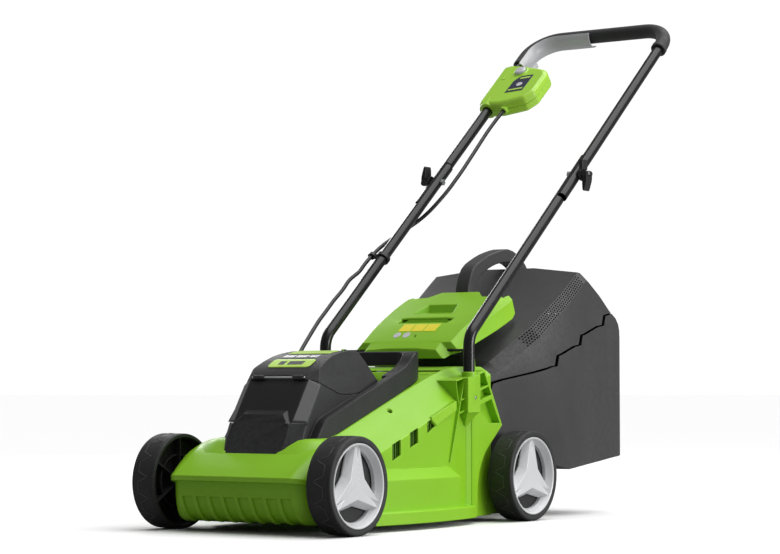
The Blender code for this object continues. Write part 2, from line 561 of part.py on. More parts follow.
for side, s in (("left", 1), ("right", -1)):
    tube = pipe([(s * LOWER_X, y, z) for y, z in lower_path], TUBE_R, 12, TUBE_R - TUBE_WALL)
    x0, x1 = sorted((s * (LAP_X - 0.0002), s * 0.17))
    screw_hole = rod((s * 0.140, 0.1205, 0.2050), (s * 0.162, 0.1205, 0.2050), 0.0024, 10)
    part("lower_tube_" + side, cut(tube, slab(x0, x1, 0.5300, 0.68, -0.02, 0.02), bolt_hole(s), screw_hole), "tube", (s * LOWER_X, 0.1205, 0.25))
    part("tube_screw_" + side, join(rod((s * 0.1500, 0.1205, 0.2050), (s * 0.1575, 0.1205, 0.2050), 0.0021, 10), rod((s * 0.1562, 0.1205, 0.2050), (s * 0.1598, 0.1205, 0.2050), 0.0027, 10)), "steel", (s * 0.157, 0.1205, 0.205))
    part("deck_screw_" + side, rod((s * 0.1070, -0.0490, 0.1740), (s * 0.1070, -0.0490, 0.1800), 0.0040, 10), "steel", (s * 0.1070, -0.0490, 0.177))
    bolt = join(rod((s * 0.1318, PIVOT[1], PIVOT[2]), (s * 0.1362, PIVOT[1], PIVOT[2]), 0.0062, 6), rod((s * 0.1350, PIVOT[1], PIVOT[2]), (s * 0.1748, PIVOT[1], PIVOT[2]), 0.0030, 12))
    bolt = cut(bolt, rod((s * CAM_X, PIVOT[1] - 0.01, PIVOT[2]), (s * CAM_X, PIVOT[1] + 0.01, PIVOT[2]), 0.0014, 8))
    part("pivot_bolt_" + side, bolt, "steel", (s * 0.145, PIVOT[1], PIVOT[2]))
    washer = turned([(0.0033, 0.1588), (0.0125, 0.1588), (0.0110, 0.1640), (0.0033, 0.1640)], (0, PIVOT[1], PIVOT[2]), (s, 0, 0), 12)
    part("cam_washer_" + side, washer, "black", (s * 0.161, PIVOT[1], PIVOT[2]))
    # the lever's arm hangs on the left side and stands up on the right side; its cheeks straddle the bolt's eye
    y0, zp, d = PIVOT[1], PIVOT[2], -s
    cam = rod((s * CAM_X, y0 - 0.0105, zp), (s * CAM_X, y0 + 0.0105, zp), 0.0055, 14)
    arm = [(0.1658, zp + d * -0.001), (0.1658, zp + d * 0.0100), (0.1662, zp + d * 0.0280), (0.1690, zp + d * 0.0300), (0.1752, zp + d * 0.0120), (0.1752, zp + d * -0.001)]
    lever = join(cam, prism([(s * x, z) for x, z in arm], "y", y0 - 0.0100, y0 + 0.0100))
    lever = cut(lever, rod((s * CAM_X, y0 - 0.0036, zp), (s * CAM_X, y0 + 0.0036, zp), 0.0068, 16))
    lever = join(lever, rod((s * CAM_X, y0 - 0.0080, zp), (s * CAM_X, y0 + 0.0080, zp), 0.0010, 8))
    part("cam_lever_" + side, lever, "black", (s * CAM_X, y0, zp))

upper_path = [hp(-UPPER_X, 0.5380)]
corner = []
for k in range(6):
    a = math.pi / 2 * k / 5
    corner.append((UPPER_X - BEND_R + BEND_R * math.cos(a), BAR_S - BEND_R + BEND_R * math.sin(a)))
upper_path += [hp(-x, s) for x, s in corner]
upper_path += [hp(x, s) for x, s in reversed(corner)]
upper_path.append(hp(UPPER_X, 0.5380))
tube = pipe(upper_path, TUBE_R, 12, TUBE_R - TUBE_WALL)
inside = [slab(*sorted((s * (LAP_X + 0.0002), s * 0.12)), 0.52, 0.6570, -0.02, 0.02) for s in (1, -1)]
part("upper_handle_tube", cut(tube, *inside, bolt_hole(1), bolt_hole(-1)), "tube", PIVOT)
sleeve_path = [hp(-UPPER_X, 0.9850)] + [hp(-x, s) for x, s in corner] + [hp(x, s) for x, s in reversed(corner)]
part("grip_sleeve", pipe(sleeve_path, SLEEVE_R, 12, TUBE_R + GAP), "foam", PIVOT, 50)

# ---------------------------------------------------------------- switch box, button and bail lever
BOX = [(-0.1665, 0.8450), (-0.1600, 0.8380), (-0.1180, 0.8340), (-0.0700, 0.8480), (-0.0560, 0.8700), (-0.0550, 0.9280), (-0.0640, 0.9440), (-0.0900, 0.9540), (-0.1360, 0.9670), (-0.1620, 0.9670), (-0.1665, 0.9620)]


def box_layer(grow, n0, n1, poly=BOX):
    centre = np.array([-0.112, 0.900])
    out = [tuple(centre + (np.array(p) - centre) * (1 + grow / np.linalg.norm(np.array(p) - centre))) for p in poly]
    return [[hp(x, s, n) for x, s in out] for n in ((n0,) if n1 is None else (n0, n1))]


front = loft(box_layer(0, 0.00015, None) + box_layer(0, 0.0120, None) + box_layer(-0.004, 0.0168, None))
back = loft(box_layer(-0.004, -0.0168, None) + box_layer(0, -0.0120, None) + box_layer(0, -0.00015, None))
cavity_poly = [(-0.1272, 0.8500), (-0.0730, 0.8530), (-0.0610, 0.8720), (-0.0600, 0.9250), (-0.0680, 0.9380), (-0.0920, 0.9452), (-0.1272, 0.9452)]
cavity = loft([[hp(x, s, n) for x, s in cavity_poly] for n in (-0.0138, 0.0138)])
lever_slot = slab(-0.1330, -0.1020, 0.9350, 0.9800, -0.0080, 0.0080)
leg_hole = rod(hp(-UPPER_X, 0.80), hp(-UPPER_X, 1.00), TUBE_R + GAP, 16)
wire_hole = rod(hp(-0.1120, 0.82), hp(-0.1120, 0.86), 0.0041, 12)
BUTTON = (-0.1174, 0.9395)
button_hole = rod(hp(*BUTTON, 0.0062), hp(*BUTTON, 0.03), 0.0115, 20)
PIN = (-0.1180, 0.9575)
pin_hole = rod(hp(*PIN, -0.0125), hp(*PIN, 0.0125), 0.0021, 10)
collar = turned([(0.0, 0.0150), (0.0150, 0.0150), (0.0140, 0.0185), (0.0, 0.0185)], hp(*BUTTON), N_DIR, 20)
part("switch_box_front", cut(join(front, collar), cavity, lever_slot, leg_hole, wire_hole, button_hole, pin_hole), "green", hp(-0.11, 0.9))
part("switch_box_back", cut(back, cavity, lever_slot, leg_hole, wire_hole, pin_hole), "green", hp(-0.11, 0.9, -0.01))
part("micro_switch", slab(-0.0950, -0.0780, 0.8900, 0.9120, -0.0135, 0.0135), "black", hp(-0.0865, 0.901))
part("bail_pin", rod(hp(*PIN, -0.0120), hp(*PIN, 0.0120), 0.0018, 10), "steel", hp(*PIN))
part("lock_button", turned([(0.0, 0.0100), (0.0111, 0.0100), (0.0111, 0.0205), (0.0090, 0.0222), (0.0, 0.0230)], hp(*BUTTON), N_DIR, 20), "white", hp(*BUTTON, 0.0205), 40)

R_IN, R_OUT = 0.0188, 0.0213
arc_out = [math.radians(d) for d in (-80, -55, -28, 0, 28, 55, 80)]
rings = []
for x, s, a in [(-UPPER_X, 0.9720, 0.0)] + [(-cx, cs, math.pi / 2 * k / 5) for k, (cx, cs) in enumerate(corner)] + [(-0.0210, BAR_S, math.pi / 2)]:
    # towards the inside of the bend, in the handle's plane
    ix, is_ = math.cos(a), -math.sin(a)
    ring = [hp(x + R_OUT * math.cos(b) * ix, s + R_OUT * math.cos(b) * is_, R_OUT * math.sin(b)) for b in arc_out]
    ring += [hp(x + R_IN * math.cos(b) * ix, s + R_IN * math.cos(b) * is_, R_IN * math.sin(b)) for b in reversed(arc_out)]
    rings.append(ring)
channel = loft(rings)
root = slab(-0.1300, -0.1080, 0.9500, 0.9880, -0.0055, 0.0055)
lever = join(channel, root)
part("bail_lever", cut(lever, rod(hp(*PIN, -0.02), hp(*PIN, 0.02), 0.0021, 10)), "white", hp(*PIN))

# ---------------------------------------------------------------- flap, its rod and its spring
FLAP = [  # y, half width, top, lowest edge
    (0.1335, 0.0830, 0.2780, 0.2700), (0.1360, 0.0830, 0.2840, 0.2700), (0.1450, 0.0830, 0.2910, 0.2740), (0.1650, 0.0830, 0.3000, 0.2800),
    (0.1665, 0.1020, 0.3010, 0.2820), (0.2000, 0.1050, 0.3280, 0.2960), (0.2550, 0.1080, 0.3570, 0.3170), (0.3040, 0.1090, 0.3780, 0.3380), (0.3175, 0.1060, 0.3840, 0.3480)]


def flap_ring(y, w, zt, zb, t=0.0):
    drop = 0.5 * t
    half = [(w + 0.006 - t, zb - (0.03 if t else 0)), (w - t, zt - 0.012 - drop), (w - 0.012 - drop, zt - t), (0.35 * w, zt + 0.003 - t)]
    return [(x, y, z) for x, z in half] + [(-x, y, z) for x, z in reversed(half)]


flap_out = loft([flap_ring(*s) for s in FLAP])
inner_rows = [(0.1365,) + FLAP[0][1:]] + [(y + (0.003 if i in (0, 3) else 0), w, zt, zb) for i, (y, w, zt, zb) in enumerate(FLAP[2:8])] + [(0.3300, 0.1060, 0.3890, 0.3480)]
inner_rows = [(0.1365, 0.0830, 0.2800, 0.2700), (0.1450, 0.0830, 0.2900, 0.2740), (0.1690, 0.0830, 0.3020, 0.2800), (0.1700, 0.1020, 0.3035, 0.2820),
              (0.2000, 0.1050, 0.3275, 0.2960), (0.2550, 0.1080, 0.3565, 0.3170), (0.3040, 0.1090, 0.3775, 0.3380), (0.3300, 0.1040, 0.3890, 0.3480)]
flap_in = loft([flap_ring(*s, t=0.003) for s in inner_rows])
lugs = [cut(prism([(0.1440, 0.2790), (0.1470, 0.2770), (0.1570, 0.2770), (0.1600, 0.2790), (0.1640, 0.2975), (0.1420, 0.2880)], "x", *sorted((s * 0.0700, s * 0.0780))), rod((s * 0.06, *FLAP_AXIS), (s * 0.09, *FLAP_AXIS), 0.0022, 10)) for s in (1, -1)]
flap = cut(join(cut(flap_out, flap_in), *lugs), rod((-0.095, *FLAP_AXIS), (0.095, *FLAP_AXIS), 0.0026, 10))
part("discharge_flap", flap, "green", (0, *FLAP_AXIS))
part("flap_hinge_rod", rod((-0.1315, *FLAP_AXIS), (0.1315, *FLAP_AXIS), 0.0023, 10), "steel", (0, *FLAP_AXIS))
coil = []
for k in range(29):
    a = math.pi / 2 + 2 * math.pi * k / 8
    coil.append((0.0560 - 0.0120 * k / 28, FLAP_AXIS[0] + 0.0038 * math.cos(a), FLAP_AXIS[1] + 0.0038 * math.sin(a)))
last = coil[-1]
coil.append((last[0] - 0.0006, last[1] - 0.004, last[2] - 0.0035))
part("flap_spring", pipe(coil, 0.0006, 5), "steel", (0, *FLAP_AXIS))

# ---------------------------------------------------------------- grass collector
BAG = [  # y, half width, bottom, edge height, ridge height
    (0.2085, 0.1180, 0.1130, 0.2440, 0.2500), (0.2370, 0.1190, 0.1085, 0.2525, 0.2650), (0.2610, 0.1300, 0.1085, 0.2690, 0.2860), (0.3000, 0.1310, 0.1085, 0.2980, 0.3120),
    (0.3400, 0.1640, 0.0800, 0.3280, 0.3430), (0.4000, 0.1660, 0.0810, 0.3730, 0.3880), (0.4630, 0.1660, 0.0870, 0.4190, 0.4330), (0.5100, 0.1660, 0.0920, 0.3950, 0.4120),
    (0.5450, 0.1655, 0.0960, 0.3700, 0.3850), (0.5700, 0.1650, 0.0985, 0.3560, 0.3680), (0.5860, 0.1630, 0.1000, 0.3350, 0.3450), (0.5910, 0.1600, 0.1010, 0.3000, 0.3080)]


def bag_ring(y, w, zb, zt, zc, t=0.0):
    half = [(w - t, zb + t), (w - t, zt - 0.012 - 0.5 * t), (w - 0.017 - 0.4 * t, zt + 0.004 - t), (0.06, zc - t)]
    return [(x, y, z) for x, z in half] + [(-x, y, z) for x, z in reversed(half)]


bag_out = loft([bag_ring(*s) for s in BAG])
bag_in = loft([bag_ring(0.2112, *BAG[0][1:], t=0.0026)] + [bag_ring(*s, t=0.0026) for s in BAG[1:-2]] + [bag_ring(0.5830, *BAG[-2][1:], t=0.0026), bag_ring(0.5880, *BAG[-1][1:], t=0.0026)])
mouth = box(-0.0980, 0.0980, 0.20, 0.2200, 0.1180, 0.2400)
handle_out = [(0.3215, 0.310), (0.3205, 0.3950), (0.3380, 0.4290), (0.3720, 0.4480), (0.4100, 0.4610), (0.4540, 0.4680), (0.4920, 0.4560), (0.5200, 0.4340), (0.5320, 0.4000)]
handle_in = [(0.5020, 0.4000), (0.4960, 0.4240), (0.4780, 0.4380), (0.4520, 0.4440), (0.4150, 0.4390), (0.3800, 0.4260), (0.3540, 0.4080), (0.3440, 0.3850), (0.3440, 0.3200)]
carry = cut(prism(handle_out + handle_in, "x", -0.0140, 0.0140), bag_in)
shell = cut(bag_out, bag_in, mouth)
line = []
for k in range(7):
    y = 0.2350 + 0.0470 * k
    z = 0.2080 + 0.4500 * (y - 0.2350)
    line += [(y, z), (y + 0.0370, z + 0.0170), (y + 0.0400, z + 0.0110)]
line = [(0.1950, 0.1900)] + line + [(0.6100, line[-1][1] + 0.008)]
above = prism(line + [(0.6100, 0.60), (0.1950, 0.60)], "x", -0.20, 0.20)
below = prism([(y, z - 0.0004) for y, z in line] + [(0.6100, 0.02), (0.1950, 0.02)], "x", -0.20, 0.20)
part("collector_top", join(common(shell, above), carry), "dark", (0, 0.40, 0.30))
part("collector_bottom", common(shell, below), "dark", (0, 0.40, 0.15))

# ---------------------------------------------------------------- cable and clip
CABLE = [(-0.1120, 0.8460, 0.0), (-0.1120, 0.8340, 0.0), (-0.1138, 0.8020, 0.0), (-0.1142, 0.7690, 0.0), (-0.1130, 0.7370, 0.0), (-0.1113, 0.7050, 0.0), (-0.1098, 0.6730, 0.0),
         (-0.1090, 0.6420, -0.0005), (-0.1095, 0.6120, -0.0010), (-0.1118, 0.5830, -0.0025), (-0.1190, 0.5560, -0.0060), (-0.1300, 0.5320, -0.0110), (-0.1430, 0.5120, -0.0150), (-0.1550, 0.4880, -0.0145),
         (-0.1630, 0.4580, -0.0095), (-0.1672, 0.4280, -0.0028), (-0.1680, 0.4060, 0.0018), (-0.1678, 0.3920, 0.0042), (-0.1662, 0.3680, 0.0080), (-0.1652, 0.3480, 0.0098), (-0.1640, 0.3270, 0.0110)]
cable_path = [hp(*p) for p in CABLE] + [(-0.1630, 0.2130, 0.4085), (-0.1605, 0.1890, 0.3900), (-0.1575, 0.1610, 0.3720), (-0.1540, 0.1340, 0.3530), (-0.1500, 0.1080, 0.3355), (-0.1460, 0.0850, 0.3180), (-0.1410, 0.0620, 0.3010), (-0.1350, 0.0370, 0.2820),
    (-0.1270, 0.0120, 0.2600), (-0.1180, -0.0090, 0.2400), (-0.1090, -0.0230, 0.2250), (-0.1000, -0.0310, 0.2165), (-0.0930, -0.0335, 0.2143), (-0.0850, -0.0340, 0.2140)]
cord = bpy.data.curves.new("switch_cable", "CURVE")
cord.dimensions = "3D"
line = cord.splines.new("POLY")
line.points.add(len(cable_path) - 1)
O = hp(-0.112, 0.834)
for i, p in enumerate(cable_path):
    line.points[i].co = (p[0] - O[0], p[1] - O[1], p[2] - O[2], 1.0)
cord.bevel_depth = 0.0036
cord.bevel_resolution = 2
cord.use_fill_caps = True
cable = bpy.data.objects.new("switch_cable", cord)
scene.collection.objects.link(cable)
cable.parent = ROOT
cable.location = O
cord.materials.append(material("black"))

clip_at = hp(-LOWER_X, 0.3800)
upper_end, lower_end = hp(-0.1678, 0.3920, 0.0042), hp(-0.1662, 0.3680, 0.0080)
hold = tuple((np.array(upper_end) + np.array(lower_end)) / 2)
along = np.array(upper_end) - np.array(lower_end)
ring = turned([(0, -0.0040), (0.0128, -0.0040), (0.0128, 0.0040), (0, 0.0040)], clip_at, S_DIR, 18)
small = turned([(0, -0.0036), (0.0066, -0.0036), (0.0066, 0.0036), (0, 0.0036)], hold, along, 14)
bridge = slab(-0.1640, -0.1570, 0.3768, 0.3832, 0.0008, 0.0072)
clip = cut(join(ring, small, bridge), rod(hp(-LOWER_X, 0.36), hp(-LOWER_X, 0.40), 0.0098, 18), rod(upper_end, lower_end, 0.0039, 14))
part("cable_clip", clip, "black", hold)
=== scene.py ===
"""Push lawn mower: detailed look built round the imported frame."""
import math

import bmesh
import bpy
import numpy as np
from mathutils import Matrix, Vector


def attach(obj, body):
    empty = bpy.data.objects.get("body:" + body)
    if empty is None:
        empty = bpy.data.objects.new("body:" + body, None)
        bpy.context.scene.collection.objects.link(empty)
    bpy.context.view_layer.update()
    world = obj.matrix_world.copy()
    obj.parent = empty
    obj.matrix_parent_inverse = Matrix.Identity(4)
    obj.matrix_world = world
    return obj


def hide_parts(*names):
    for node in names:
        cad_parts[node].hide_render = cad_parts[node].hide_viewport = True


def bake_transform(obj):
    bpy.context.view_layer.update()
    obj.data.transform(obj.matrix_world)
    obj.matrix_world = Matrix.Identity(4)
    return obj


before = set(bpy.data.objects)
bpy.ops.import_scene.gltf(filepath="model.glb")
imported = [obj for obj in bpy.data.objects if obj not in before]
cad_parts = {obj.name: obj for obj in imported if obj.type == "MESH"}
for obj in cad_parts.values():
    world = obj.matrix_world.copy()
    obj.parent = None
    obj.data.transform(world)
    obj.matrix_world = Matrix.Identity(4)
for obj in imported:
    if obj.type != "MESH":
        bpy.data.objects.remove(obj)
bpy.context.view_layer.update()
scene = bpy.context.scene
CY = -0.25406            # working frame to the model's frame

# ------------------------------------------------------------------ camera first
AZ, PITCH = math.radians(35.1777), math.radians(2.6883)
EYE = Vector((2.21975, -3.04506 + CY, 0.224169))
RIGHT = Vector((math.cos(AZ), math.sin(AZ), 0.0))
FWD = Vector((-math.sin(AZ) * math.cos(PITCH), math.cos(AZ) * math.cos(PITCH), math.sin(PITCH)))
UPV = RIGHT.cross(FWD)
cam_data = bpy.data.cameras.new("camera")
cam_data.sensor_width = 36.0
cam_data.lens = 2317.83 / 780.0 * 36.0
cam_data.clip_start, cam_data.clip_end = 0.05, 60.0
cam = bpy.data.objects.new("camera", cam_data)
scene.collection.objects.link(cam)
rot = Matrix((RIGHT, UPV, -FWD)).transposed().to_4x4()
cam.matrix_world = Matrix.Translation(EYE) @ rot
scene.camera = cam

# ------------------------------------------------------------------ driving dimensions, as in the model
WHEEL_R, WHEEL_OUT, WHEEL_IN = 0.075, 0.1925, 0.1479
AXLE_R, AXLE_Z, HALF_BASE = 0.005, 0.075, 0.247
TUBE_R, TUBE_WALL = 0.0095, 0.0015
LOWER_X, UPPER_X, LAP_X = 0.1460, 0.1490, 0.1475
HANDLE_Z0, HANDLE_SLOPE, PIVOT_S, BAR_S, BEND_R, SLEEVE_R = 0.2036, 0.849, 0.6055, 1.0723, 0.058, 0.0135
BLADE_Y, BLADE_R, FLOOR_TOP = -0.035, 0.150, 0.1185
FLAP_AXIS = (0.1520, 0.2830)
CAM_X = 0.1700
LID_AXIS = (-0.1965, 0.2372)
GAP = 0.0003
TH = math.atan(HANDLE_SLOPE)
S_DIR = np.array([0.0, math.cos(TH), math.sin(TH)])
N_DIR = np.array([0.0, -math.sin(TH), math.cos(TH)])
H0 = np.array([0.0, 0.0, HANDLE_Z0])


def hp(x, s, n=0.0):
    return tuple(np.array([x, 0.0, 0.0]) + H0 + s * S_DIR + n * N_DIR)


PIVOT = hp(0.0, PIVOT_S)


# ------------------------------------------------------------------ materials
class Nodes:
    """Short names for building a shader tree."""

    def __init__(self, name):
        self.mat = bpy.data.materials.new(name)
        self.mat.use_nodes = True
        self.tree = self.mat.node_tree
        self.shader = self.tree.nodes["Principled BSDF"]
        self.coord = self.tree.nodes.new("ShaderNodeTexCoord")

    def new(self, kind, **values):
        node = self.tree.nodes.new(kind)
        for key, value in values.items():
            setattr(node, key, value)
        return node

    def link(self, a, b):
        self.tree.links.new(a, b)

    def noise(self, scale, detail=3.0, rough=0.5, stretch=None, seed=0.0):
        node = self.new("ShaderNodeTexNoise")
        node.inputs["Scale"].default_value = scale
        node.inputs["Detail"].default_value = detail
        node.inputs["Roughness"].default_value = rough
        mapping = self.new("ShaderNodeMapping")
        mapping.inputs["Location"].default_value = (seed, seed * 0.7, seed * 1.3)
        if stretch:
            mapping.inputs["Scale"].default_value = stretch
        self.link(self.coord.outputs["Object"], mapping.inputs["Vector"])
        self.link(mapping.outputs["Vector"], node.inputs["Vector"])
        return node.outputs["Fac"]

    def ramp(self, fac, low, high, a=0.0, b=1.0):
        node = self.new("ShaderNodeMapRange")
        node.inputs["From Min"].default_value = a
        node.inputs["From Max"].default_value = b
        node.inputs["To Min"].default_value = low
        node.inputs["To Max"].default_value = high
        self.link(fac, node.inputs["Value"])
        return node.outputs["Result"]

    def mix(self, fac, one, two, how="MIX"):
        node = self.new("ShaderNodeMix", data_type="RGBA", blend_type=how)
        ins = [s for s in node.inputs if s.enabled]
        for value, socket in zip((fac, one, two), ins):
            if hasattr(value, "is_output"):
                self.link(value, socket)
            elif isinstance(value, (int, float)):
                socket.default_value = value
            else:
                socket.default_value = (*value, 1.0)
        return [s for s in node.outputs if s.enabled][0]

    def math(self, how, a, b=None):
        node = self.new("ShaderNodeMath", operation=how)
        for value, socket in zip((a, b), node.inputs):
            if value is None:
                continue
            if hasattr(value, "is_output"):
                self.link(value, socket)
            else:
                socket.default_value = value
        return node.outputs[0]

    def bump(self, height, strength, distance, normal=None):
        node = self.new("ShaderNodeBump")
        node.inputs["Strength"].default_value = strength
        node.inputs["Distance"].default_value = distance
        self.link(height, node.inputs["Height"])
        if normal is not None:
            self.link(normal, node.inputs["Normal"])
        return node.outputs["Normal"]


def edge_wear(n, low=0.51, high=0.60):
    geometry = n.new("ShaderNodeNewGeometry")
    sharp = n.ramp(geometry.outputs["Pointiness"], 0.0, 1.0, low, high)
    return n.math("MULTIPLY", sharp, n.ramp(n.noise(160.0, 4.0, 0.6, seed=3.1), 0.35, 1.0, 0.35, 0.6))


def plastic(name, colour, rough=0.4, grain=1400.0, bump=0.06, variation=0.07, coat=0.0, worn=None, spec=0.5, dust=0.05):
    """Moulded plastic: a fine spark-eroded grain, slow colour drift, flow marks, paler edges and a trace of dust low down."""
    n = Nodes(name)
    dark = tuple(c * (1 - variation) for c in colour)
    light = tuple(min(1.0, c * (1 + variation)) for c in colour)
    base = n.mix(n.ramp(n.noise(7.0, 4.0, 0.55), 0.0, 1.0, 0.3, 0.7), dark, light)
    fine = n.mix(n.ramp(n.noise(420.0, 2.0, 0.6, seed=1.7), 0.0, 0.35, 0.35, 0.75), base, tuple(c * 0.9 for c in colour))
    if worn is None:
        worn = tuple(min(1.0, c * 1.25 + 0.012) for c in colour)
    edged = n.mix(n.math("MULTIPLY", edge_wear(n), 0.55), fine, worn)
    geometry = n.new("ShaderNodeNewGeometry")
    split = n.new("ShaderNodeSeparateXYZ")
    n.link(geometry.outputs["Normal"], split.inputs[0])
    up = n.math("MULTIPLY", n.ramp(split.outputs["Z"], 0.0, 1.0, 0.55, 1.0), n.ramp(n.noise(38.0, 6.0, 0.7, seed=9.2), 0.0, dust, 0.42, 0.75))
    dusty = n.mix(up, edged, (0.42, 0.41, 0.38))
    n.link(dusty, n.shader.inputs["Base Color"])
    r = n.math("ADD", n.ramp(n.noise(23.0, 5.0, 0.6, seed=5.0), rough - 0.05, rough + 0.06, 0.3, 0.7), n.math("MULTIPLY", up, 1.2))
    n.link(r, n.shader.inputs["Roughness"])
    grainy = n.noise(grain, 2.0, 0.5, seed=2.3)
    n.link(n.bump(grainy, bump, 0.0004), n.shader.inputs["Normal"])
    n.shader.inputs["Specular IOR Level"].default_value = spec
    if coat:
        n.shader.inputs["Coat Weight"].default_value = coat
        n.shader.inputs["Coat Roughness"].default_value = 0.12
    return n.mat


def metal(name, colour, rough=0.3, stretch=(1, 1, 1), metallic=1.0, variation=0.12, brushed=0.15):
    """Plated or painted metal with drawn lines, faint stains and brighter rubbed edges."""
    n = Nodes(name)
    base = n.mix(n.ramp(n.noise(30.0, 5.0, 0.6), 0.0, 1.0, 0.3, 0.7), tuple(c * (1 - variation) for c in colour), tuple(min(1, c * (1 + variation)) for c in colour))
    stained = n.mix(n.ramp(n.noise(90.0, 6.0, 0.7, seed=4.0), 0.0, 0.4, 0.55, 0.8), base, tuple(c * 0.7 for c in colour))
    n.link(n.mix(n.math("MULTIPLY", edge_wear(n), 0.5), stained, tuple(min(1, c * 1.35 + 0.004) for c in colour)), n.shader.inputs["Base Color"])
    n.shader.inputs["Metallic"].default_value = metallic
    n.link(n.ramp(n.noise(60.0, 5.0, 0.6, seed=6.0), rough - 0.06, rough + 0.08, 0.3, 0.7), n.shader.inputs["Roughness"])
    n.link(n.bump(n.noise(900.0, 3.0, 0.6, stretch=stretch), brushed, 0.0003), n.shader.inputs["Normal"])
    return n.mat


def rubber(name, colour, rough=0.62):
    """Moulded tyre rubber: mould haze, fine pores, scuffed grey edges."""
    n = Nodes(name)
    base = n.mix(n.ramp(n.noise(12.0, 5.0, 0.6), 0.0, 1.0, 0.3, 0.7), tuple(c * 0.85 for c in colour), tuple(c * 1.2 for c in colour))
    scuff = n.mix(n.ramp(n.noise(260.0, 6.0, 0.75, seed=2.0), 0.0, 0.5, 0.56, 0.8), base, tuple(c * 1.7 + 0.004 for c in colour))
    n.link(n.mix(n.math("MULTIPLY", edge_wear(n), 0.5), scuff, (0.085, 0.085, 0.085)), n.shader.inputs["Base Color"])
    n.link(n.ramp(n.noise(70.0, 5.0, 0.6, seed=7.0), rough - 0.08, rough + 0.08, 0.3, 0.7), n.shader.inputs["Roughness"])
    pores = n.bump(n.noise(1900.0, 2.0, 0.5), 0.16, 0.0004)
    n.link(n.bump(n.noise(160.0, 4.0, 0.6, seed=8.0), 0.08, 0.0006, pores), n.shader.inputs["Normal"])
    return n.mat


def foam(name, colour):
    """Closed-cell foam: open pores on a soft skin."""
    n = Nodes(name)
    cells = n.new("ShaderNodeTexVoronoi")
    cells.inputs["Scale"].default_value = 900.0
    n.link(n.coord.outputs["Object"], cells.inputs["Vector"])
    base = n.mix(n.ramp(n.noise(20.0, 4.0, 0.6), 0.0, 1.0, 0.3, 0.7), tuple(c * 0.85 for c in colour), tuple(c * 1.2 for c in colour))
    n.link(n.mix(n.ramp(cells.outputs["Distance"], 0.45, 0.0, 0.0, 0.35), base, tuple(c * 0.35 for c in colour)), n.shader.inputs["Base Color"])
    n.link(n.ramp(n.noise(50.0, 5.0, 0.6, seed=7.0), 0.5, 0.68, 0.3, 0.7), n.shader.inputs["Roughness"])
    n.link(n.bump(cells.outputs["Distance"], 0.25, 0.0006, n.bump(n.noise(130.0, 4.0, 0.6, seed=8.0), 0.12, 0.001)), n.shader.inputs["Normal"])
    n.shader.inputs["Sheen Weight"].default_value = 0.08
    return n.mat


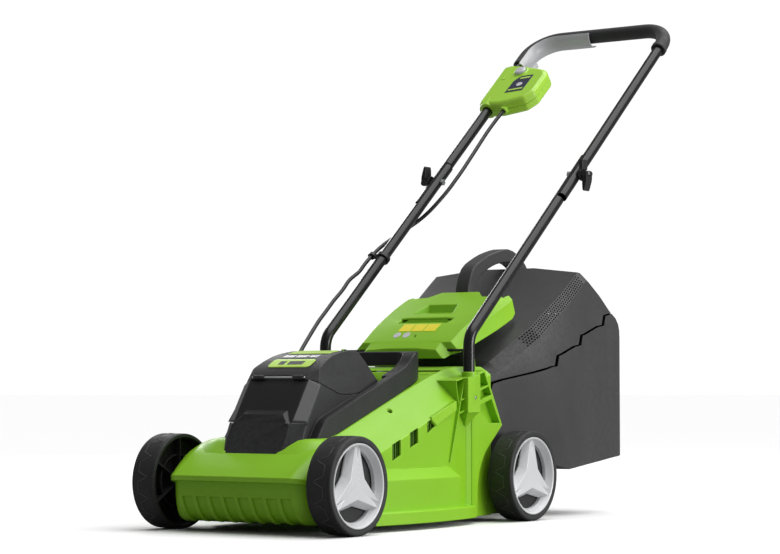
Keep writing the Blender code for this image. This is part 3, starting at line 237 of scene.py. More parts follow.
M = {
    "green": plastic("green", (0.245, 0.545, 0.014), 0.38, 1300, 0.045, 0.035, coat=0.05, worn=(0.40, 0.74, 0.06), dust=0.003, spec=0.32),
    "flap": plastic("flap_green", (0.255, 0.555, 0.015), 0.38, 1300, 0.045, 0.035, coat=0.05, worn=(0.40, 0.74, 0.06), dust=0.003, spec=0.32),
    "box": plastic("box_lime", (0.430, 0.800, 0.050), 0.33, 1300, 0.04, 0.035, coat=0.15, worn=(0.60, 0.92, 0.14), dust=0.002),
    # dark green for the backs and slats inside the louvres: painted shade in the vents
    "slats": plastic("slat_shade_green", (0.080, 0.200, 0.010), 0.45, 1300, 0.045, 0.05, dust=0.002),
    "black": plastic("hood_black", (0.0120, 0.0120, 0.0132), 0.42, 1500, 0.09, 0.10, worn=(0.085, 0.085, 0.090), dust=0.007, spec=0.40),
    "lid": plastic("lid_black", (0.0128, 0.0128, 0.0140), 0.44, 1500, 0.10, 0.10, worn=(0.085, 0.085, 0.090), dust=0.007, spec=0.40),
    # pale grey for the plates on the hood's corner chamfers: painted highlight
    "strip": plastic("strip_highlight_grey", (0.105, 0.105, 0.108), 0.5, 1700, 0.12, 0.06, worn=(0.22, 0.22, 0.22), dust=0.02),
    "bag": plastic("bag_grey", (0.038, 0.038, 0.039), 0.52, 1100, 0.13, 0.09, worn=(0.11, 0.11, 0.11), dust=0.008, spec=0.40),
    "bag_top": plastic("bag_top_grey", (0.041, 0.041, 0.042), 0.50, 1100, 0.13, 0.09, worn=(0.11, 0.11, 0.11), dust=0.008, spec=0.40),
    "dark": plastic("dark_grey", (0.035, 0.035, 0.037), 0.55, 1200, 0.12, 0.10, dust=0.03),
    "small": plastic("small_black", (0.010, 0.010, 0.011), 0.38, 1500, 0.08, 0.10, worn=(0.06, 0.06, 0.06), dust=0.005, spec=0.40),
    "cord": plastic("cable_black", (0.009, 0.009, 0.010), 0.36, 1800, 0.10, 0.10, dust=0.003, spec=0.40),
    "white": plastic("lever_grey", (0.560, 0.565, 0.590), 0.34, 1500, 0.05, 0.03, coat=0.1, worn=(0.75, 0.75, 0.78), dust=0.02),
    "button": plastic("button_pale", (0.640, 0.635, 0.680), 0.30, 1500, 0.04, 0.03, coat=0.2, worn=(0.8, 0.8, 0.85), dust=0.01),
    "rim": plastic("rim_silver", (0.640, 0.645, 0.655), 0.30, 1600, 0.05, 0.04, coat=0.25, worn=(0.82, 0.82, 0.84), dust=0.006),
    "red": plastic("key_red", (0.50, 0.03, 0.02), 0.4, 1200, 0.06, 0.08),
    "board": plastic("circuit_green", (0.02, 0.16, 0.07), 0.5, 900, 0.2, 0.15),
    "badge": plastic("badge_lime", (0.50, 0.78, 0.09), 0.32, 1200, 0.03, 0.04, coat=0.3, dust=0.005),
    "badge_dark": plastic("badge_dark", (0.030, 0.030, 0.045), 0.35, 1200, 0.03, 0.06, coat=0.2, dust=0.005),
    "sticker": plastic("sticker_dark", (0.020, 0.022, 0.060), 0.30, 1200, 0.03, 0.06, coat=0.3, dust=0.004),
    "label": plastic("label_yellow", (0.88, 0.74, 0.015), 0.38, 1200, 0.03, 0.04, coat=0.2, dust=0.002),
    "tyre": rubber("tyre_rubber", (0.0095, 0.0095, 0.0100)),
    # paler grey for the zig-zag line round the tread: painted highlight on the moulded groove
    "tread": rubber("tread_highlight_line", (0.060, 0.060, 0.060), 0.5),
    "foam": foam("grip_foam", (0.022, 0.022, 0.024)),
    "tube": metal("tube_black", (0.0070, 0.0070, 0.0075), 0.27, (1, 0.2, 0.2), 0.0, 0.15, 0.02),
    "steel": metal("zinc_steel", (0.55, 0.56, 0.58), 0.32, (0.05, 1, 1)),
    "blade": metal("blade_steel", (0.46, 0.47, 0.49), 0.34, (0.05, 1, 1), 1.0, 0.15, 0.3),
}
M["tube"].node_tree.nodes["Principled BSDF"].inputs["Coat Weight"].default_value = 0.18
M["tube"].node_tree.nodes["Principled BSDF"].inputs["Specular IOR Level"].default_value = 0.32
M["tube"].node_tree.nodes["Principled BSDF"].inputs["Coat Roughness"].default_value = 0.10


# ------------------------------------------------------------------ shape helpers, all return (points, faces)
def prism(poly, axis, a, b):
    k = "xyz".index(axis)
    points = []
    for d in (a, b):
        for p, q in poly:
            c = [p, q]
            c.insert(k, d)
            points.append(tuple(c))
    n = len(poly)
    faces = [tuple(range(n)), tuple(range(2 * n - 1, n - 1, -1))]
    faces += [(i, (i + 1) % n, n + (i + 1) % n, n + i) for i in range(n)]
    return points, faces


def box(x0, x1, y0, y1, z0, z1):
    return prism([(y0, z0), (y1, z0), (y1, z1), (y0, z1)], "x", x0, x1)


def loft(rings):
    n = len(rings[0])
    points = [p for ring in rings for p in ring]
    faces = [tuple(range(n)), tuple(range(len(points) - 1, len(points) - n - 1, -1))]
    for r in range(len(rings) - 1):
        for i in range(n):
            j = (i + 1) % n
            faces.append((r * n + i, r * n + j, (r + 1) * n + j, (r + 1) * n + i))
    return points, faces


def frame_of(axis):
    axis = np.array(axis, float) / np.linalg.norm(axis)
    side = np.cross(axis, (0.0, 0.0, 1.0))
    if np.linalg.norm(side) < 0.05:
        side = np.cross(axis, (1.0, 0.0, 0.0))
    side /= np.linalg.norm(side)
    return axis, side, np.cross(axis, side)


def turned(profile, centre, axis, steps):
    axis, u, v = frame_of(axis)
    centre = np.array(centre, float)
    points, index = [], []
    for r, d in profile:
        if r < 1e-7:
            index.append([len(points)] * steps)
            points.append(tuple(centre + d * axis))
            continue
        index.append(list(range(len(points), len(points) + steps)))
        for k in range(steps):
            a = 2 * math.pi * k / steps
            points.append(tuple(centre + d * axis + r * (math.cos(a) * u + math.sin(a) * v)))
    faces = []
    for i in range(len(profile)):
        one, two = index[i], index[(i + 1) % len(profile)]
        for k in range(steps):
            m = (k + 1) % steps
            corner = []
            for c in (one[k], one[m], two[m], two[k]):
                if c not in corner:
                    corner.append(c)
            if len(corner) > 2:
                faces.append(tuple(corner))
    return points, faces


def rod(a, b, r, steps=24, bore=0.0):
    a, b = np.array(a, float), np.array(b, float)
    length = float(np.linalg.norm(b - a))
    if bore:
        profile = [(bore, 0), (r, 0), (r, length), (bore, length)]
    else:
        profile = [(0, 0), (r, 0), (r, length), (0, length)]
    return turned(profile, a, b - a, steps)


def carried_frames(path):
    path = [np.array(p, float) for p in path]
    tangents = []
    for i in range(len(path)):
        a = path[i] - path[i - 1] if i else path[1] - path[0]
        b = path[i + 1] - path[i] if i < len(path) - 1 else a
        t = a / np.linalg.norm(a) + b / np.linalg.norm(b)
        tangents.append(t / np.linalg.norm(t))
    _, u, _ = frame_of(tangents[0])
    frames = []
    for i, t in enumerate(tangents):
        u = u - t * np.dot(u, t)
        u = u / np.linalg.norm(u)
        frames.append((path[i], t, u, np.cross(t, u)))
    return frames


def pipe(path, r, steps=28, bore=0.0):
    """A tube along a path. r is a number, or one radius for each point."""
    radii = [r] * len(path) if isinstance(r, float) else list(r)
    rings = []
    for (c, t, u, v), q in zip(carried_frames(path), radii):
        rings.append([tuple(c + q * (math.cos(a) * u + math.sin(a) * v)) for a in (2 * math.pi * i / steps for i in range(steps))])
    if not bore:
        return loft(rings)
    inner = []
    for c, t, u, v in carried_frames(path):
        inner.append([tuple(c + bore * (math.cos(a) * u + math.sin(a) * v)) for a in (2 * math.pi * i / steps for i in range(steps))])
    points = [p for ring in rings + inner for p in ring]
    n, m = steps, len(rings)
    faces = []
    for k in range(m - 1):
        for i in range(n):
            j = (i + 1) % n
            faces.append((k * n + i, k * n + j, (k + 1) * n + j, (k + 1) * n + i))
            a = m * n
            faces.append((a + k * n + i, a + (k + 1) * n + i, a + (k + 1) * n + j, a + k * n + j))
    for i in range(n):
        j = (i + 1) % n
        a = m * n
        faces.append((i, a + i, a + j, j))
        e = (m - 1) * n
        faces.append((e + j, a + e + j, a + e + i, e + i))
    return points, faces


def spline(points, per=6, closed=False):
    """Catmull-Rom through the points."""
    p = [np.array(q, float) for q in points]
    n = len(p)
    out = []
    for i in range(n if closed else n - 1):
        a = p[(i - 1) % n] if (closed or i) else 2 * p[0] - p[1]
        b, c = p[i], p[(i + 1) % n]
        d = p[(i + 2) % n] if (closed or i < n - 2) else 2 * p[-1] - p[-2]
        for k in range(per):
            t = k / per
            out.append(tuple(0.5 * (2 * b + (c - a) * t + (2 * a - 5 * b + 4 * c - d) * t * t + (3 * b - a - 3 * c + d) * t ** 3)))
    if not closed:
        out.append(tuple(p[-1]))
    return out


def to_mesh(shape, name="shape"):
    points, faces = shape
    mesh = bpy.data.meshes.new(name)
    mesh.from_pydata([tuple(p) for p in points], [], faces)
    work = bmesh.new()
    work.from_mesh(mesh)
    bmesh.ops.remove_doubles(work, verts=work.verts, dist=1e-7)
    bmesh.ops.dissolve_degenerate(work, edges=work.edges, dist=1e-7)
    bmesh.ops.recalc_face_normals(work, faces=work.faces)
    if work.calc_volume(signed=True) < 0:
        bmesh.ops.reverse_faces(work, faces=work.faces)
    work.to_mesh(mesh)
    work.free()
    return mesh


def combine(first, operation, *others):
    base = bpy.data.objects.new("work", to_mesh(first))
    scene.collection.objects.link(base)
    tools = []
    for k, other in enumerate(others):
        tool = bpy.data.objects.new("tool", to_mesh(other))
        scene.collection.objects.link(tool)
        step = base.modifiers.new("cut%d" % k, "BOOLEAN")
        step.operation = operation
        step.solver = "EXACT"
        step.object = tool
        tools.append(tool)
    bpy.context.view_layer.update()
    graph = bpy.context.evaluated_depsgraph_get()
    result = base.evaluated_get(graph).to_mesh()
    points = [tuple(v.co) for v in result.vertices]
    faces = [tuple(p.vertices) for p in result.polygons]
    base.evaluated_get(graph).to_mesh_clear()
    for item in [base] + tools:
        mesh = item.data
        bpy.data.objects.remove(item, do_unlink=True)
        bpy.data.meshes.remove(mesh)
    return points, faces


def cut(first, *others):
    return combine(first, "DIFFERENCE", *others)


def join(first, *others):
    return combine(first, "UNION", *others)


def common(first, *others):
    return combine(first, "INTERSECT", *others)


def loose(*shapes):
    """Several bodies in one shape, not joined."""
    points, faces = [], []
    for p, f in shapes:
        k = len(points)
        points += list(p)
        faces += [tuple(i + k for i in q) for q in f]
    return points, faces


def mirrored(shape):
    points, faces = shape
    return [(-x, y, z) for x, y, z in points], [tuple(reversed(f)) for f in faces]


def rounded(shape, width, angle=25.0, segments=2):
    """The shape with its edges rounded, as (points, faces)."""
    obj = bpy.data.objects.new("round", to_mesh(shape))
    scene.collection.objects.link(obj)
    step = obj.modifiers.new("bevel", "BEVEL")
    step.width, step.segments, step.limit_method = width, segments, "ANGLE"
    step.angle_limit = math.radians(angle)
    step.use_clamp_overlap = True
    bpy.context.view_layer.update()
    graph = bpy.context.evaluated_depsgraph_get()
    result = obj.evaluated_get(graph).to_mesh()
    points = [tuple(v.co) for v in result.vertices]
    faces = [tuple(p.vertices) for p in result.polygons]
    obj.evaluated_get(graph).to_mesh_clear()
    mesh = obj.data
    bpy.data.objects.remove(obj, do_unlink=True)
    bpy.data.meshes.remove(mesh)
    return points, faces


def slab(x0, x1, s0, s1, n0, n1):
    rings = []
    for s in (s0, s1):
        rings.append([hp(x0, s, n0), hp(x1, s, n0), hp(x1, s, n1), hp(x0, s, n1)])
    return loft(rings)


def piece(name, shape, mat, body, nodes=(), bevel=0.0, angle=28.0, segments=2, sharp=32.0, weld=2e-4, clamp=False, shift=True):
    """A named piece of the mower, in the model's frame, riding on a body."""
    points, faces = shape
    if shift:
        points = [(p[0], p[1] + CY, p[2]) for p in points]
    mesh = to_mesh((points, faces), name)
    work = bmesh.new()
    work.from_mesh(mesh)
    if weld:
        bmesh.ops.remove_doubles(work, verts=work.verts, dist=weld)
        bmesh.ops.dissolve_degenerate(work, edges=work.edges, dist=weld)
    bmesh.ops.dissolve_limit(work, angle_limit=math.radians(0.4), verts=work.verts, edges=work.edges)
    loose_verts = [v for v in work.verts if not v.link_faces]
    bmesh.ops.delete(work, geom=loose_verts, context="VERTS")
    work.to_mesh(mesh)
    work.free()
    obj = bpy.data.objects.new(name, mesh)
    scene.collection.objects.link(obj)
    if bevel:
        step = obj.modifiers.new("bevel", "BEVEL")
        step.width, step.segments, step.limit_method = bevel, segments, "ANGLE"
        step.angle_limit = math.radians(angle)
        step.use_clamp_overlap = clamp
        step.miter_outer = "MITER_ARC"
    mesh.shade_smooth()
    mesh.set_sharp_from_angle(angle=math.radians(sharp))
    even = obj.modifiers.new("normals", "WEIGHTED_NORMAL")
    even.keep_sharp = True
    obj.data.materials.append(M[mat] if isinstance(mat, str) else mat)
    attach(obj, body)
    if nodes:
        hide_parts(*nodes)
    return obj


def dressed(node, mat, bevel=0.0, sharp=35.0):
    """A carried-over part with a better finish."""
    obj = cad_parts[node]
    obj.data.materials.clear()
    obj.data.materials.append(M[mat])
    obj.data.shade_smooth()
    obj.data.set_sharp_from_angle(angle=math.radians(sharp))
    if bevel:
        step = obj.modifiers.new("bevel", "BEVEL")
        step.width, step.segments, step.limit_method = bevel, 2, "ANGLE"
        step.angle_limit = math.radians(sharp)
        step.use_clamp_overlap = True
    return obj


# ------------------------------------------------------------------ deck
def top_z(y):
    stations = [(-0.205, 0.1410), (-0.166, 0.1505), (0.052, 0.2309), (0.090, 0.2450), (0.130, 0.2560), (0.205, 0.2560)]
    return float(np.interp(y, [s[0] for s in stations], [s[1] for s in stations]))


def crease_z(y):
    return min(0.1239 + (y + 0.1273) * 0.362, top_z(y) - 0.012)


BODY = [  # y, wall, shoulder
    (-0.2050, 0.1380, 0.1000), (-0.1680, 0.1385, 0.0960), (-0.1660, 0.1490, 0.0950), (-0.1300, 0.1500, 0.0950), (-0.1000, 0.1503, 0.0950),
    (-0.0700, 0.1505, 0.0950), (-0.0400, 0.1505, 0.0950), (0.0000, 0.1503, 0.0955), (0.0300, 0.1498, 0.0965), (0.0560, 0.1480, 0.0985),
    (0.0800, 0.1455, 0.1010), (0.1000, 0.1430, 0.1035), (0.1175, 0.1415, 0.1060), (0.1400, 0.1400, 0.1080), (0.1650, 0.1370, 0.1110), (0.2050, 0.1340, 0.1140)]


def body_ring(y, w, xs):
    zc, zt = crease_z(y), top_z(y)
    half = [(w, 0.0105), (w, zc - 0.0012), (w - 0.0012, zc), (xs + 0.55 * (w - xs), zc + 0.48 * (zt - zc)), (xs, zt)]
    return [(x, y, z) for x, z in half] + [(-x, y, z) for x, z in reversed(half)]


INNER = [(-0.1975, 0.1350, 0.1350, 0.0950), (-0.1690, 0.1350, 0.1350, 0.0950), (-0.1625, 0.1530, 0.1455, 0.0950), (-0.1000, 0.1605, 0.1465, 0.0950), (-0.0400, 0.1625, 0.1465, 0.0950),
         (0.0200, 0.1605, 0.1463, 0.0960), (0.0480, 0.1560, 0.1450, 0.0980), (0.0600, 0.1480, 0.1435, 0.0990), (0.0850, 0.1405, 0.1400, 0.1020), (0.1175, 0.1375, 0.1375, 0.1060), (0.1600, 0.1335, 0.1335, 0.1110)]


def inner_ring(y, wl, wu, xs):
    zc, zt = crease_z(y), top_z(y)
    half = [(wl, -0.02), (wl, 0.0765), (wu, 0.0925), (wu, zc - 0.002), (xs, zt - 0.0045)]
    notch = min(xs, 0.0985)
    half += [(notch - 0.0001, zt - 0.0051), (notch - 0.0001, 0.1140)]
    return [(x, y, z) for x, z in half] + [(-x, y, z) for x, z in reversed(half)]


outer = loft([body_ring(*s) for s in BODY])
inner = loft([inner_ring(*s) for s in INNER])

# the stepped lower wall and the flange round the foot
LEDGE_LOW = [(0.120, -0.1655), (0.1560, -0.1655), (0.1640, -0.1000), (0.1660, -0.0400), (0.1655, 0.0000), (0.1640, 0.0300), (0.1620, 0.0560), (0.1595, 0.0760), (0.1480, 0.0865), (0.120, 0.0865)]
LEDGE_HIGH = [(0.120, -0.1655), (0.1490, -0.1655), (0.1505, -0.1000), (0.1507, -0.0400), (0.1505, 0.0000), (0.1500, 0.0300), (0.1490, 0.0430), (0.1480, 0.0530), (0.1450, 0.0620), (0.120, 0.0620)]
ledge = loft([[(x, y, 0.0270) for x, y in LEDGE_LOW], [(x, y, 0.0785) for x, y in LEDGE_LOW], [(x, y, 0.0960) for x, y in LEDGE_HIGH]])
FLANGE = [(0.120, -0.1655), (0.1645, -0.1655), (0.1730, -0.1000), (0.1760, -0.0400), (0.1752, 0.0000), (0.1730, 0.0300), (0.1705, 0.0560), (0.1670, 0.0850), (0.1610, 0.1120), (0.1565, 0.1260), (0.1500, 0.1320), (0.120, 0.1320)]
flange = loft([[(x, y, 0.0105) for x, y in FLANGE], [(x, y, 0.0285) for x, y in FLANGE],
               [(x - (0.0018 if x > 0.13 else 0), y - (0.0015 if y > 0.12 else 0), 0.0305) for x, y in FLANGE]])
# the raised panel behind the louvres
panel = prism([(0.0048, 0.1700), (0.0190, 0.1607), (0.0760, 0.1850), (0.0760, 0.2000), (0.0048, 0.1745)], "x", 0.1380, 0.1517)


def ends(full, tip, x0=0.112, x1=0.140):
    """The bumper's sections across the mower: full in the middle, falling back to the tips in a smooth curve."""
    rows = [(-x1, 1.0), (-0.1365, 0.80), (-0.131, 0.52), (-0.124, 0.26), (-0.117, 0.08), (-0.109, 0.0), (-0.05, 0.0)]
    rows += [(-x, t) for x, t in reversed(rows)]
    return [(x, [((1 - t) * a[0] + t * b[0], (1 - t) * a[1] + t * b[1]) for a, b in zip(full, tip)]) for x, t in rows]


BUMPER_MID = [(-0.199, 0.0150), (-0.272, 0.0150), (-0.280, 0.0158), (-0.287, 0.0182), (-0.2935, 0.0235), (-0.2985, 0.0315), (-0.3015, 0.0415), (-0.3032, 0.0530), (-0.3040, 0.0660), (-0.3042, 0.0780),
              (-0.3070, 0.0786), (-0.3148, 0.0795), (-0.3152, 0.0872), (-0.3110, 0.0905), (-0.3030, 0.0970), (-0.2940, 0.1035), (-0.2840, 0.1100), (-0.2740, 0.1165), (-0.2630, 0.1225), (-0.2500, 0.1280), (-0.2350, 0.1335), (-0.2180, 0.1385), (-0.199, 0.1430)]
BUMPER_END = [(-0.199, 0.0150), (-0.246, 0.0150), (-0.252, 0.0158), (-0.2575, 0.0182), (-0.2630, 0.0235), (-0.2670, 0.0315), (-0.2700, 0.0415), (-0.2715, 0.0530), (-0.2725, 0.0640), (-0.2728, 0.0740),
              (-0.2755, 0.0744), (-0.2828, 0.0750), (-0.2830, 0.0822), (-0.2800, 0.0860), (-0.2750, 0.0930), (-0.2700, 0.0995), (-0.2640, 0.1060), (-0.2570, 0.1125), (-0.2490, 0.1180), (-0.2400, 0.1230), (-0.2300, 0.1275), (-0.2160, 0.1330), (-0.199, 0.1380)]
bumper = loft([[(x, y, z) for y, z in prof] for x, prof in ends(BUMPER_MID, BUMPER_END)])
IN_MID = [(-0.2035, -0.02), (-0.276, -0.02), (-0.276, 0.0185), (-0.290, 0.0270), (-0.2955, 0.0400), (-0.2985, 0.0540), (-0.2990, 0.0790),
          (-0.2960, 0.0960), (-0.281, 0.1060), (-0.262, 0.1120), (-0.2035, 0.1120)]
IN_END = [(-0.2035, -0.02), (-0.249, -0.02), (-0.249, 0.0185), (-0.259, 0.0255), (-0.2655, 0.0400), (-0.2685, 0.0540), (-0.2690, 0.0720),
          (-0.2680, 0.0880), (-0.260, 0.1020), (-0.247, 0.1100), (-0.2035, 0.1120)]
bumper_in = loft([[(x, y, z) for y, z in prof] for x, prof in ((-0.1365, IN_END), (-0.104, IN_MID), (0.104, IN_MID), (0.1365, IN_END))])


def groove(x0, x1):
    side = [(-0.3300, 0.0550), (-0.3003, 0.0550), (-0.2996, 0.0500), (-0.2982, 0.0415), (-0.2955, 0.0330), (-0.2912, 0.0262), (-0.2860, 0.0215), (-0.2790, 0.0186), (-0.2700, 0.0178), (-0.2580, 0.0178), (-0.2580, 0.0050), (-0.3300, 0.0050)]
    points, faces = prism(side, "x", x0, x1)
    return [(x + (0.0550 - z) * 0.20, y, z) for x, y, z in points], faces


grooves = [groove(-0.1045 + 0.0273 * k, -0.1045 + 0.0273 * k + 0.0198) for k in range(8)]

# shallow scoops beside the foot of the hood
scoops = []
for s in (1, -1):
    scoops.append(loft([[(s * (0.0850 + 0.0120 * math.cos(a) * q), y, z0 + 0.0210 * math.sin(a) * q) for a in (2 * math.pi * k / 20 for k in range(20))]
                        for y, z0, q in ((-0.285, 0.1420, 1.10), (-0.262, 0.1450, 1.05), (-0.240, 0.1520, 0.85), (-0.222, 0.1600, 0.40))]))


def thick_line(line, width):
    """A narrow closed strip along a (y, z) line."""
    line = [np.array(p) for p in line]
    left, right = [], []
    for i, p in enumerate(line):
        a = line[max(0, i - 1)]
        b = line[min(len(line) - 1, i + 1)]
        d = (b - a) / np.linalg.norm(b - a)
        n = np.array([-d[1], d[0]]) * width / 2
        left.append(tuple(p + n))
        right.append(tuple(p - n))
    return left + right[::-1]


ARCH = [(0.2300, 0.1625), (0.2214, 0.1582), (0.2028, 0.1425), (0.1751, 0.1190), (0.1610, 0.1010), (0.1539, 0.0864), (0.1495, 0.0690), (0.1477, 0.0539), (0.1468, 0.0300), (0.1466, 0.0105)]
arch = spline(ARCH[1:], 3)
plate_side = [(0.1300, 0.0105), (0.1300, 0.2400), (0.1483, 0.2450), (0.1700, 0.2508), (0.1943, 0.2090), (0.2222, 0.1586)] + arch
plate = prism(plate_side, "x", 0.1180, 0.1455)
skirt_plan = [(0.118, 0.1175), (0.1418, 0.1175), (0.1455, 0.1380), (0.1455, 0.16), (0.118, 0.16)]
skirt = common(prism(skirt_plan, "z", 0.0105, 0.235), prism([(0.10, 0.0), (0.10, 0.2400), (0.1470, 0.2400)] + [p for p in arch if p[1] < 0.13] + [(0.1466, 0.0)], "x", 0.10, 0.16))
socket_side = [(0.0982, 0.1803), (0.0982, 0.2368), (0.1332, 0.2431), (0.1352, 0.2423), (0.1352, 0.1803)]
socket = rounded(prism(socket_side, "x", 0.1203, 0.1591), 0.0010)
web = loft([[(0.120, 0.0985, 0.1815), (0.1575, 0.0985, 0.1815), (0.1575, 0.1335, 0.1815), (0.120, 0.1335, 0.1815)],
            [(0.120, 0.1120, 0.1590), (0.1435, 0.1120, 0.1590), (0.1435, 0.1180, 0.1590), (0.120, 0.1180, 0.1590)]])
collar = turned([(0, 0.236), (0.0122, 0.236), (0.0122, 0.2455), (0.0112, 0.2470), (0, 0.2470)], (LOWER_X, 0.1205, 0.0), (0, 0, 1), 32)
fin_long = prism(thick_line([(0.1006, 0.2372), (0.0800, 0.1680), (0.0590, 0.1020)], 0.0022), "x", 0.0980, 0.1512)
fin_two = prism(thick_line([(0.0790, 0.2310), (0.0835, 0.2060), (0.0900, 0.1870)], 0.0020), "x", 0.0980, 0.1490)
fin_a = prism(thick_line([(0.0890, 0.2005), (0.1045, 0.2055)], 0.0018), "x", 0.1200, 0.1525)
fin_b = prism(thick_line([(0.0840, 0.1795), (0.1045, 0.1860)], 0.0018), "x", 0.1200, 0.1525)
fin_top = prism(thick_line([(0.0785, 0.2318), (0.1045, 0.2375)], 0.0020), "x", 0.0980, 0.1495)
carrier = prism([(0.150, 0.012), (0.265, 0.012), (0.265, 0.092), (0.255, 0.100), (0.150, 0.100)], "x", -0.134, 0.134)
ear = prism([(0.1420, 0.245), (0.162, 0.245), (0.1575, 0.2850), (0.1560, 0.2868), (0.1480, 0.2868), (0.1465, 0.2850)], "x", 0.1280, 0.1325)

hood_pocket = prism([(-0.2655, FLOOR_TOP), (0.0156, FLOOR_TOP), (0.0156, 0.4), (-0.2655, 0.4)], "x", -0.0920, 0.0920)
chute = prism([(0.0187, 0.060), (0.0187, 0.2118), (0.0785, 0.2255), (0.1005, 0.2490), (0.1300, 0.2510), (0.230, 0.2510), (0.230, 0.1080), (0.1700, 0.1080), (0.150, 0.060)], "x", -0.1000, 0.1000)
carrier_in = box(-0.130, 0.130, 0.1665, 0.2615, -0.02, 0.0960)
cells = [prism(c, "x", 0.1325, 0.1600) for c in (
    [(0.1370, 0.2375), (0.1672, 0.2462), (0.1793, 0.2258), (0.1370, 0.2140)],
    [(0.1370, 0.2105), (0.1808, 0.2230), (0.1886, 0.2095), (0.1370, 0.1948)])]
cells.append(loft([[(0.1330, 0.1500, 0.1880), (0.1330, 0.1880, 0.1990), (0.1330, 0.2125, 0.1635), (0.1330, 0.1860, 0.1635)],
                   [(0.1600, 0.1375, 0.1912), (0.1600, 0.1912, 0.2062), (0.1600, 0.2180, 0.1614), (0.1600, 0.1800, 0.1614)]]))
inner_side = prism([(0.1375, 0.05), (0.1375, 0.2330), (0.1700, 0.2370), (0.1950, 0.2050), (0.1950, 0.0700), (0.1590, 0.05)], "x", 0.1035, 0.1290)
louvres = [prism(q, "x", 0.1400, 0.1600) for q in (
    [(-0.1021, 0.1325), (-0.0799, 0.1405), (-0.0799, 0.1160), (-0.1021, 0.1070)],
    [(-0.0542, 0.1499), (-0.0321, 0.1579), (-0.0321, 0.1345), (-0.0542, 0.1262)],
    [(-0.0058, 0.1665), (0.0040, 0.1700), (0.0168, 0.1603), (-0.0058, 0.1480)])]
axle_cuts = [rod((-0.2, y, AXLE_Z), (0.2, y, AXLE_Z), AXLE_R + GAP, 24) for y in (-HALF_BASE, HALF_BASE)]
tube_cuts = [rod((s * LOWER_X, 0.1205, 0.1828), (s * LOWER_X, 0.1205, 0.40), TUBE_R + 0.0005, 36) for s in (1, -1)]
shaft_cut = rod((0, BLADE_Y, 0.08), (0, BLADE_Y, 0.14), 0.0090, 32)
finger_recess = prism([(0.0150, 0.2165), (0.030, 0.2190), (0.0800, 0.2300), (0.1050, 0.2560), (0.1050, 0.30), (0.0150, 0.30)], "x", -0.0680, 0.0680)
flap_seat = prism([(0.1180, 0.2620), (0.135, 0.2560), (0.24, 0.2560), (0.24, 0.32), (0.1180, 0.32)], "x", -0.1275, 0.1275)
rod_cut = rod((-0.16, *FLAP_AXIS), (0.16, *FLAP_AXIS), 0.0026, 16)
side_screw_cuts = [rod((s * 0.1070, -0.049, 0.150), (s * 0.1070, -0.049, 0.222), 0.0045, 24) for s in (1, -1)]
socket_screw_cuts = [rod((s * 0.1530, 0.1205, 0.205), (s * 0.1640, 0.1205, 0.205), 0.0030, 16) for s in (1, -1)]
arm_seat = prism([(0.0150, 0.2165), (0.0520, 0.2305), (0.0850, 0.2420), (0.0870, 0.30), (0.0150, 0.30)], "x", -0.0925, 0.0925)


def pair(*shapes):
    return [m for s in shapes for m in (s, mirrored(s))]


deck = join(outer, bumper, carrier, *pair(ledge, flange, panel, plate, skirt, socket, web, collar, fin_long, fin_two, fin_a, fin_b, fin_top, ear))
deck = cut(deck, inner, bumper_in, carrier_in, chute, *pair(inner_side), hood_pocket, finger_recess, arm_seat, flap_seat, shaft_cut, rod_cut)
deck = cut(deck, *axle_cuts, *tube_cuts, *pair(*louvres), *socket_screw_cuts, *side_screw_cuts, *grooves, *pair(*cells))
scoop = loft([[(x, y, z) for x, z in rows] for y, rows in (
    (-0.2680, [(0.0500, 0.1100), (0.0500, 0.1190), (0.0760, 0.1180), (0.0950, 0.1165), (0.1180, 0.1100)]),
    (-0.2655, [(0.0500, 0.1100), (0.0500, 0.1222), (0.0760, 0.1215), (0.0950, 0.1195), (0.1200, 0.1130)]),
    (-0.2560, [(0.0560, 0.1100), (0.0560, 0.1290), (0.0760, 0.1300), (0.0980, 0.1270), (0.1220, 0.1175)]),
    (-0.2480, [(0.0630, 0.1100), (0.0630, 0.1352), (0.0800, 0.1372), (0.1010, 0.1330), (0.1240, 0.1205)]),
    (-0.2394, [(0.0710, 0.1100), (0.0710, 0.1412), (0.0860, 0.1422), (0.1040, 0.1385), (0.1260, 0.1240)]),
    (-0.2300, [(0.0770, 0.1100), (0.0770, 0.1432), (0.0920, 0.1434), (0.1070, 0.1405), (0.1280, 0.1280)]),
    (-0.2182, [(0.0850, 0.1100), (0.0850, 0.1437), (0.0980, 0.1437), (0.1100, 0.1415), (0.1290, 0.1325)]),
    (-0.1990, [(0.0925, 0.1100), (0.0925, 0.1440), (0.1020, 0.1440), (0.1120, 0.1425), (0.1300, 0.1370)]))])
# a back and slats set inside each louvre, coloured dark green as painted shade in the vent
backs = []
for q in ([(-0.1060, 0.1035), (-0.0760, 0.1125), (-0.0760, 0.1435), (-0.1060, 0.1345)], [(-0.0580, 0.1225), (-0.0280, 0.1315), (-0.0280, 0.1610), (-0.0580, 0.1520)], [(-0.0090, 0.1450), (0.0200, 0.1560), (0.0200, 0.1740), (-0.0090, 0.1690)]):
    backs.append(prism(q, "x", 0.1375, 0.1395))
    y0 = q[0][0]
    for k in range(4):
        y1 = y0 + 0.0055 + 0.0063 * k
        z0, z1 = q[0][1] + (q[1][1] - q[0][1]) * (y1 - y0) / (q[1][0] - y0), q[3][1] + (q[2][1] - q[3][1]) * (y1 - y0) / (q[1][0] - y0)
        backs.append(prism([(y1, z0 + 0.0005), (y1 + 0.0016, z0 + 0.0005), (y1 + 0.0016, z1 - 0.0005), (y1, z1 - 0.0005)], "x", 0.1390, 0.1455))
piece("deck_body", deck, "green", "deck", ["deck_shell"], bevel=0.0007, angle=24, sharp=30)
piece("deck_scoops", loose(*pair(scoop)), "green", "deck", bevel=0.0006, angle=30, sharp=34)
piece("louvre_slats_shaded", loose(*pair(*backs)), "slats", "deck", bevel=0.0)

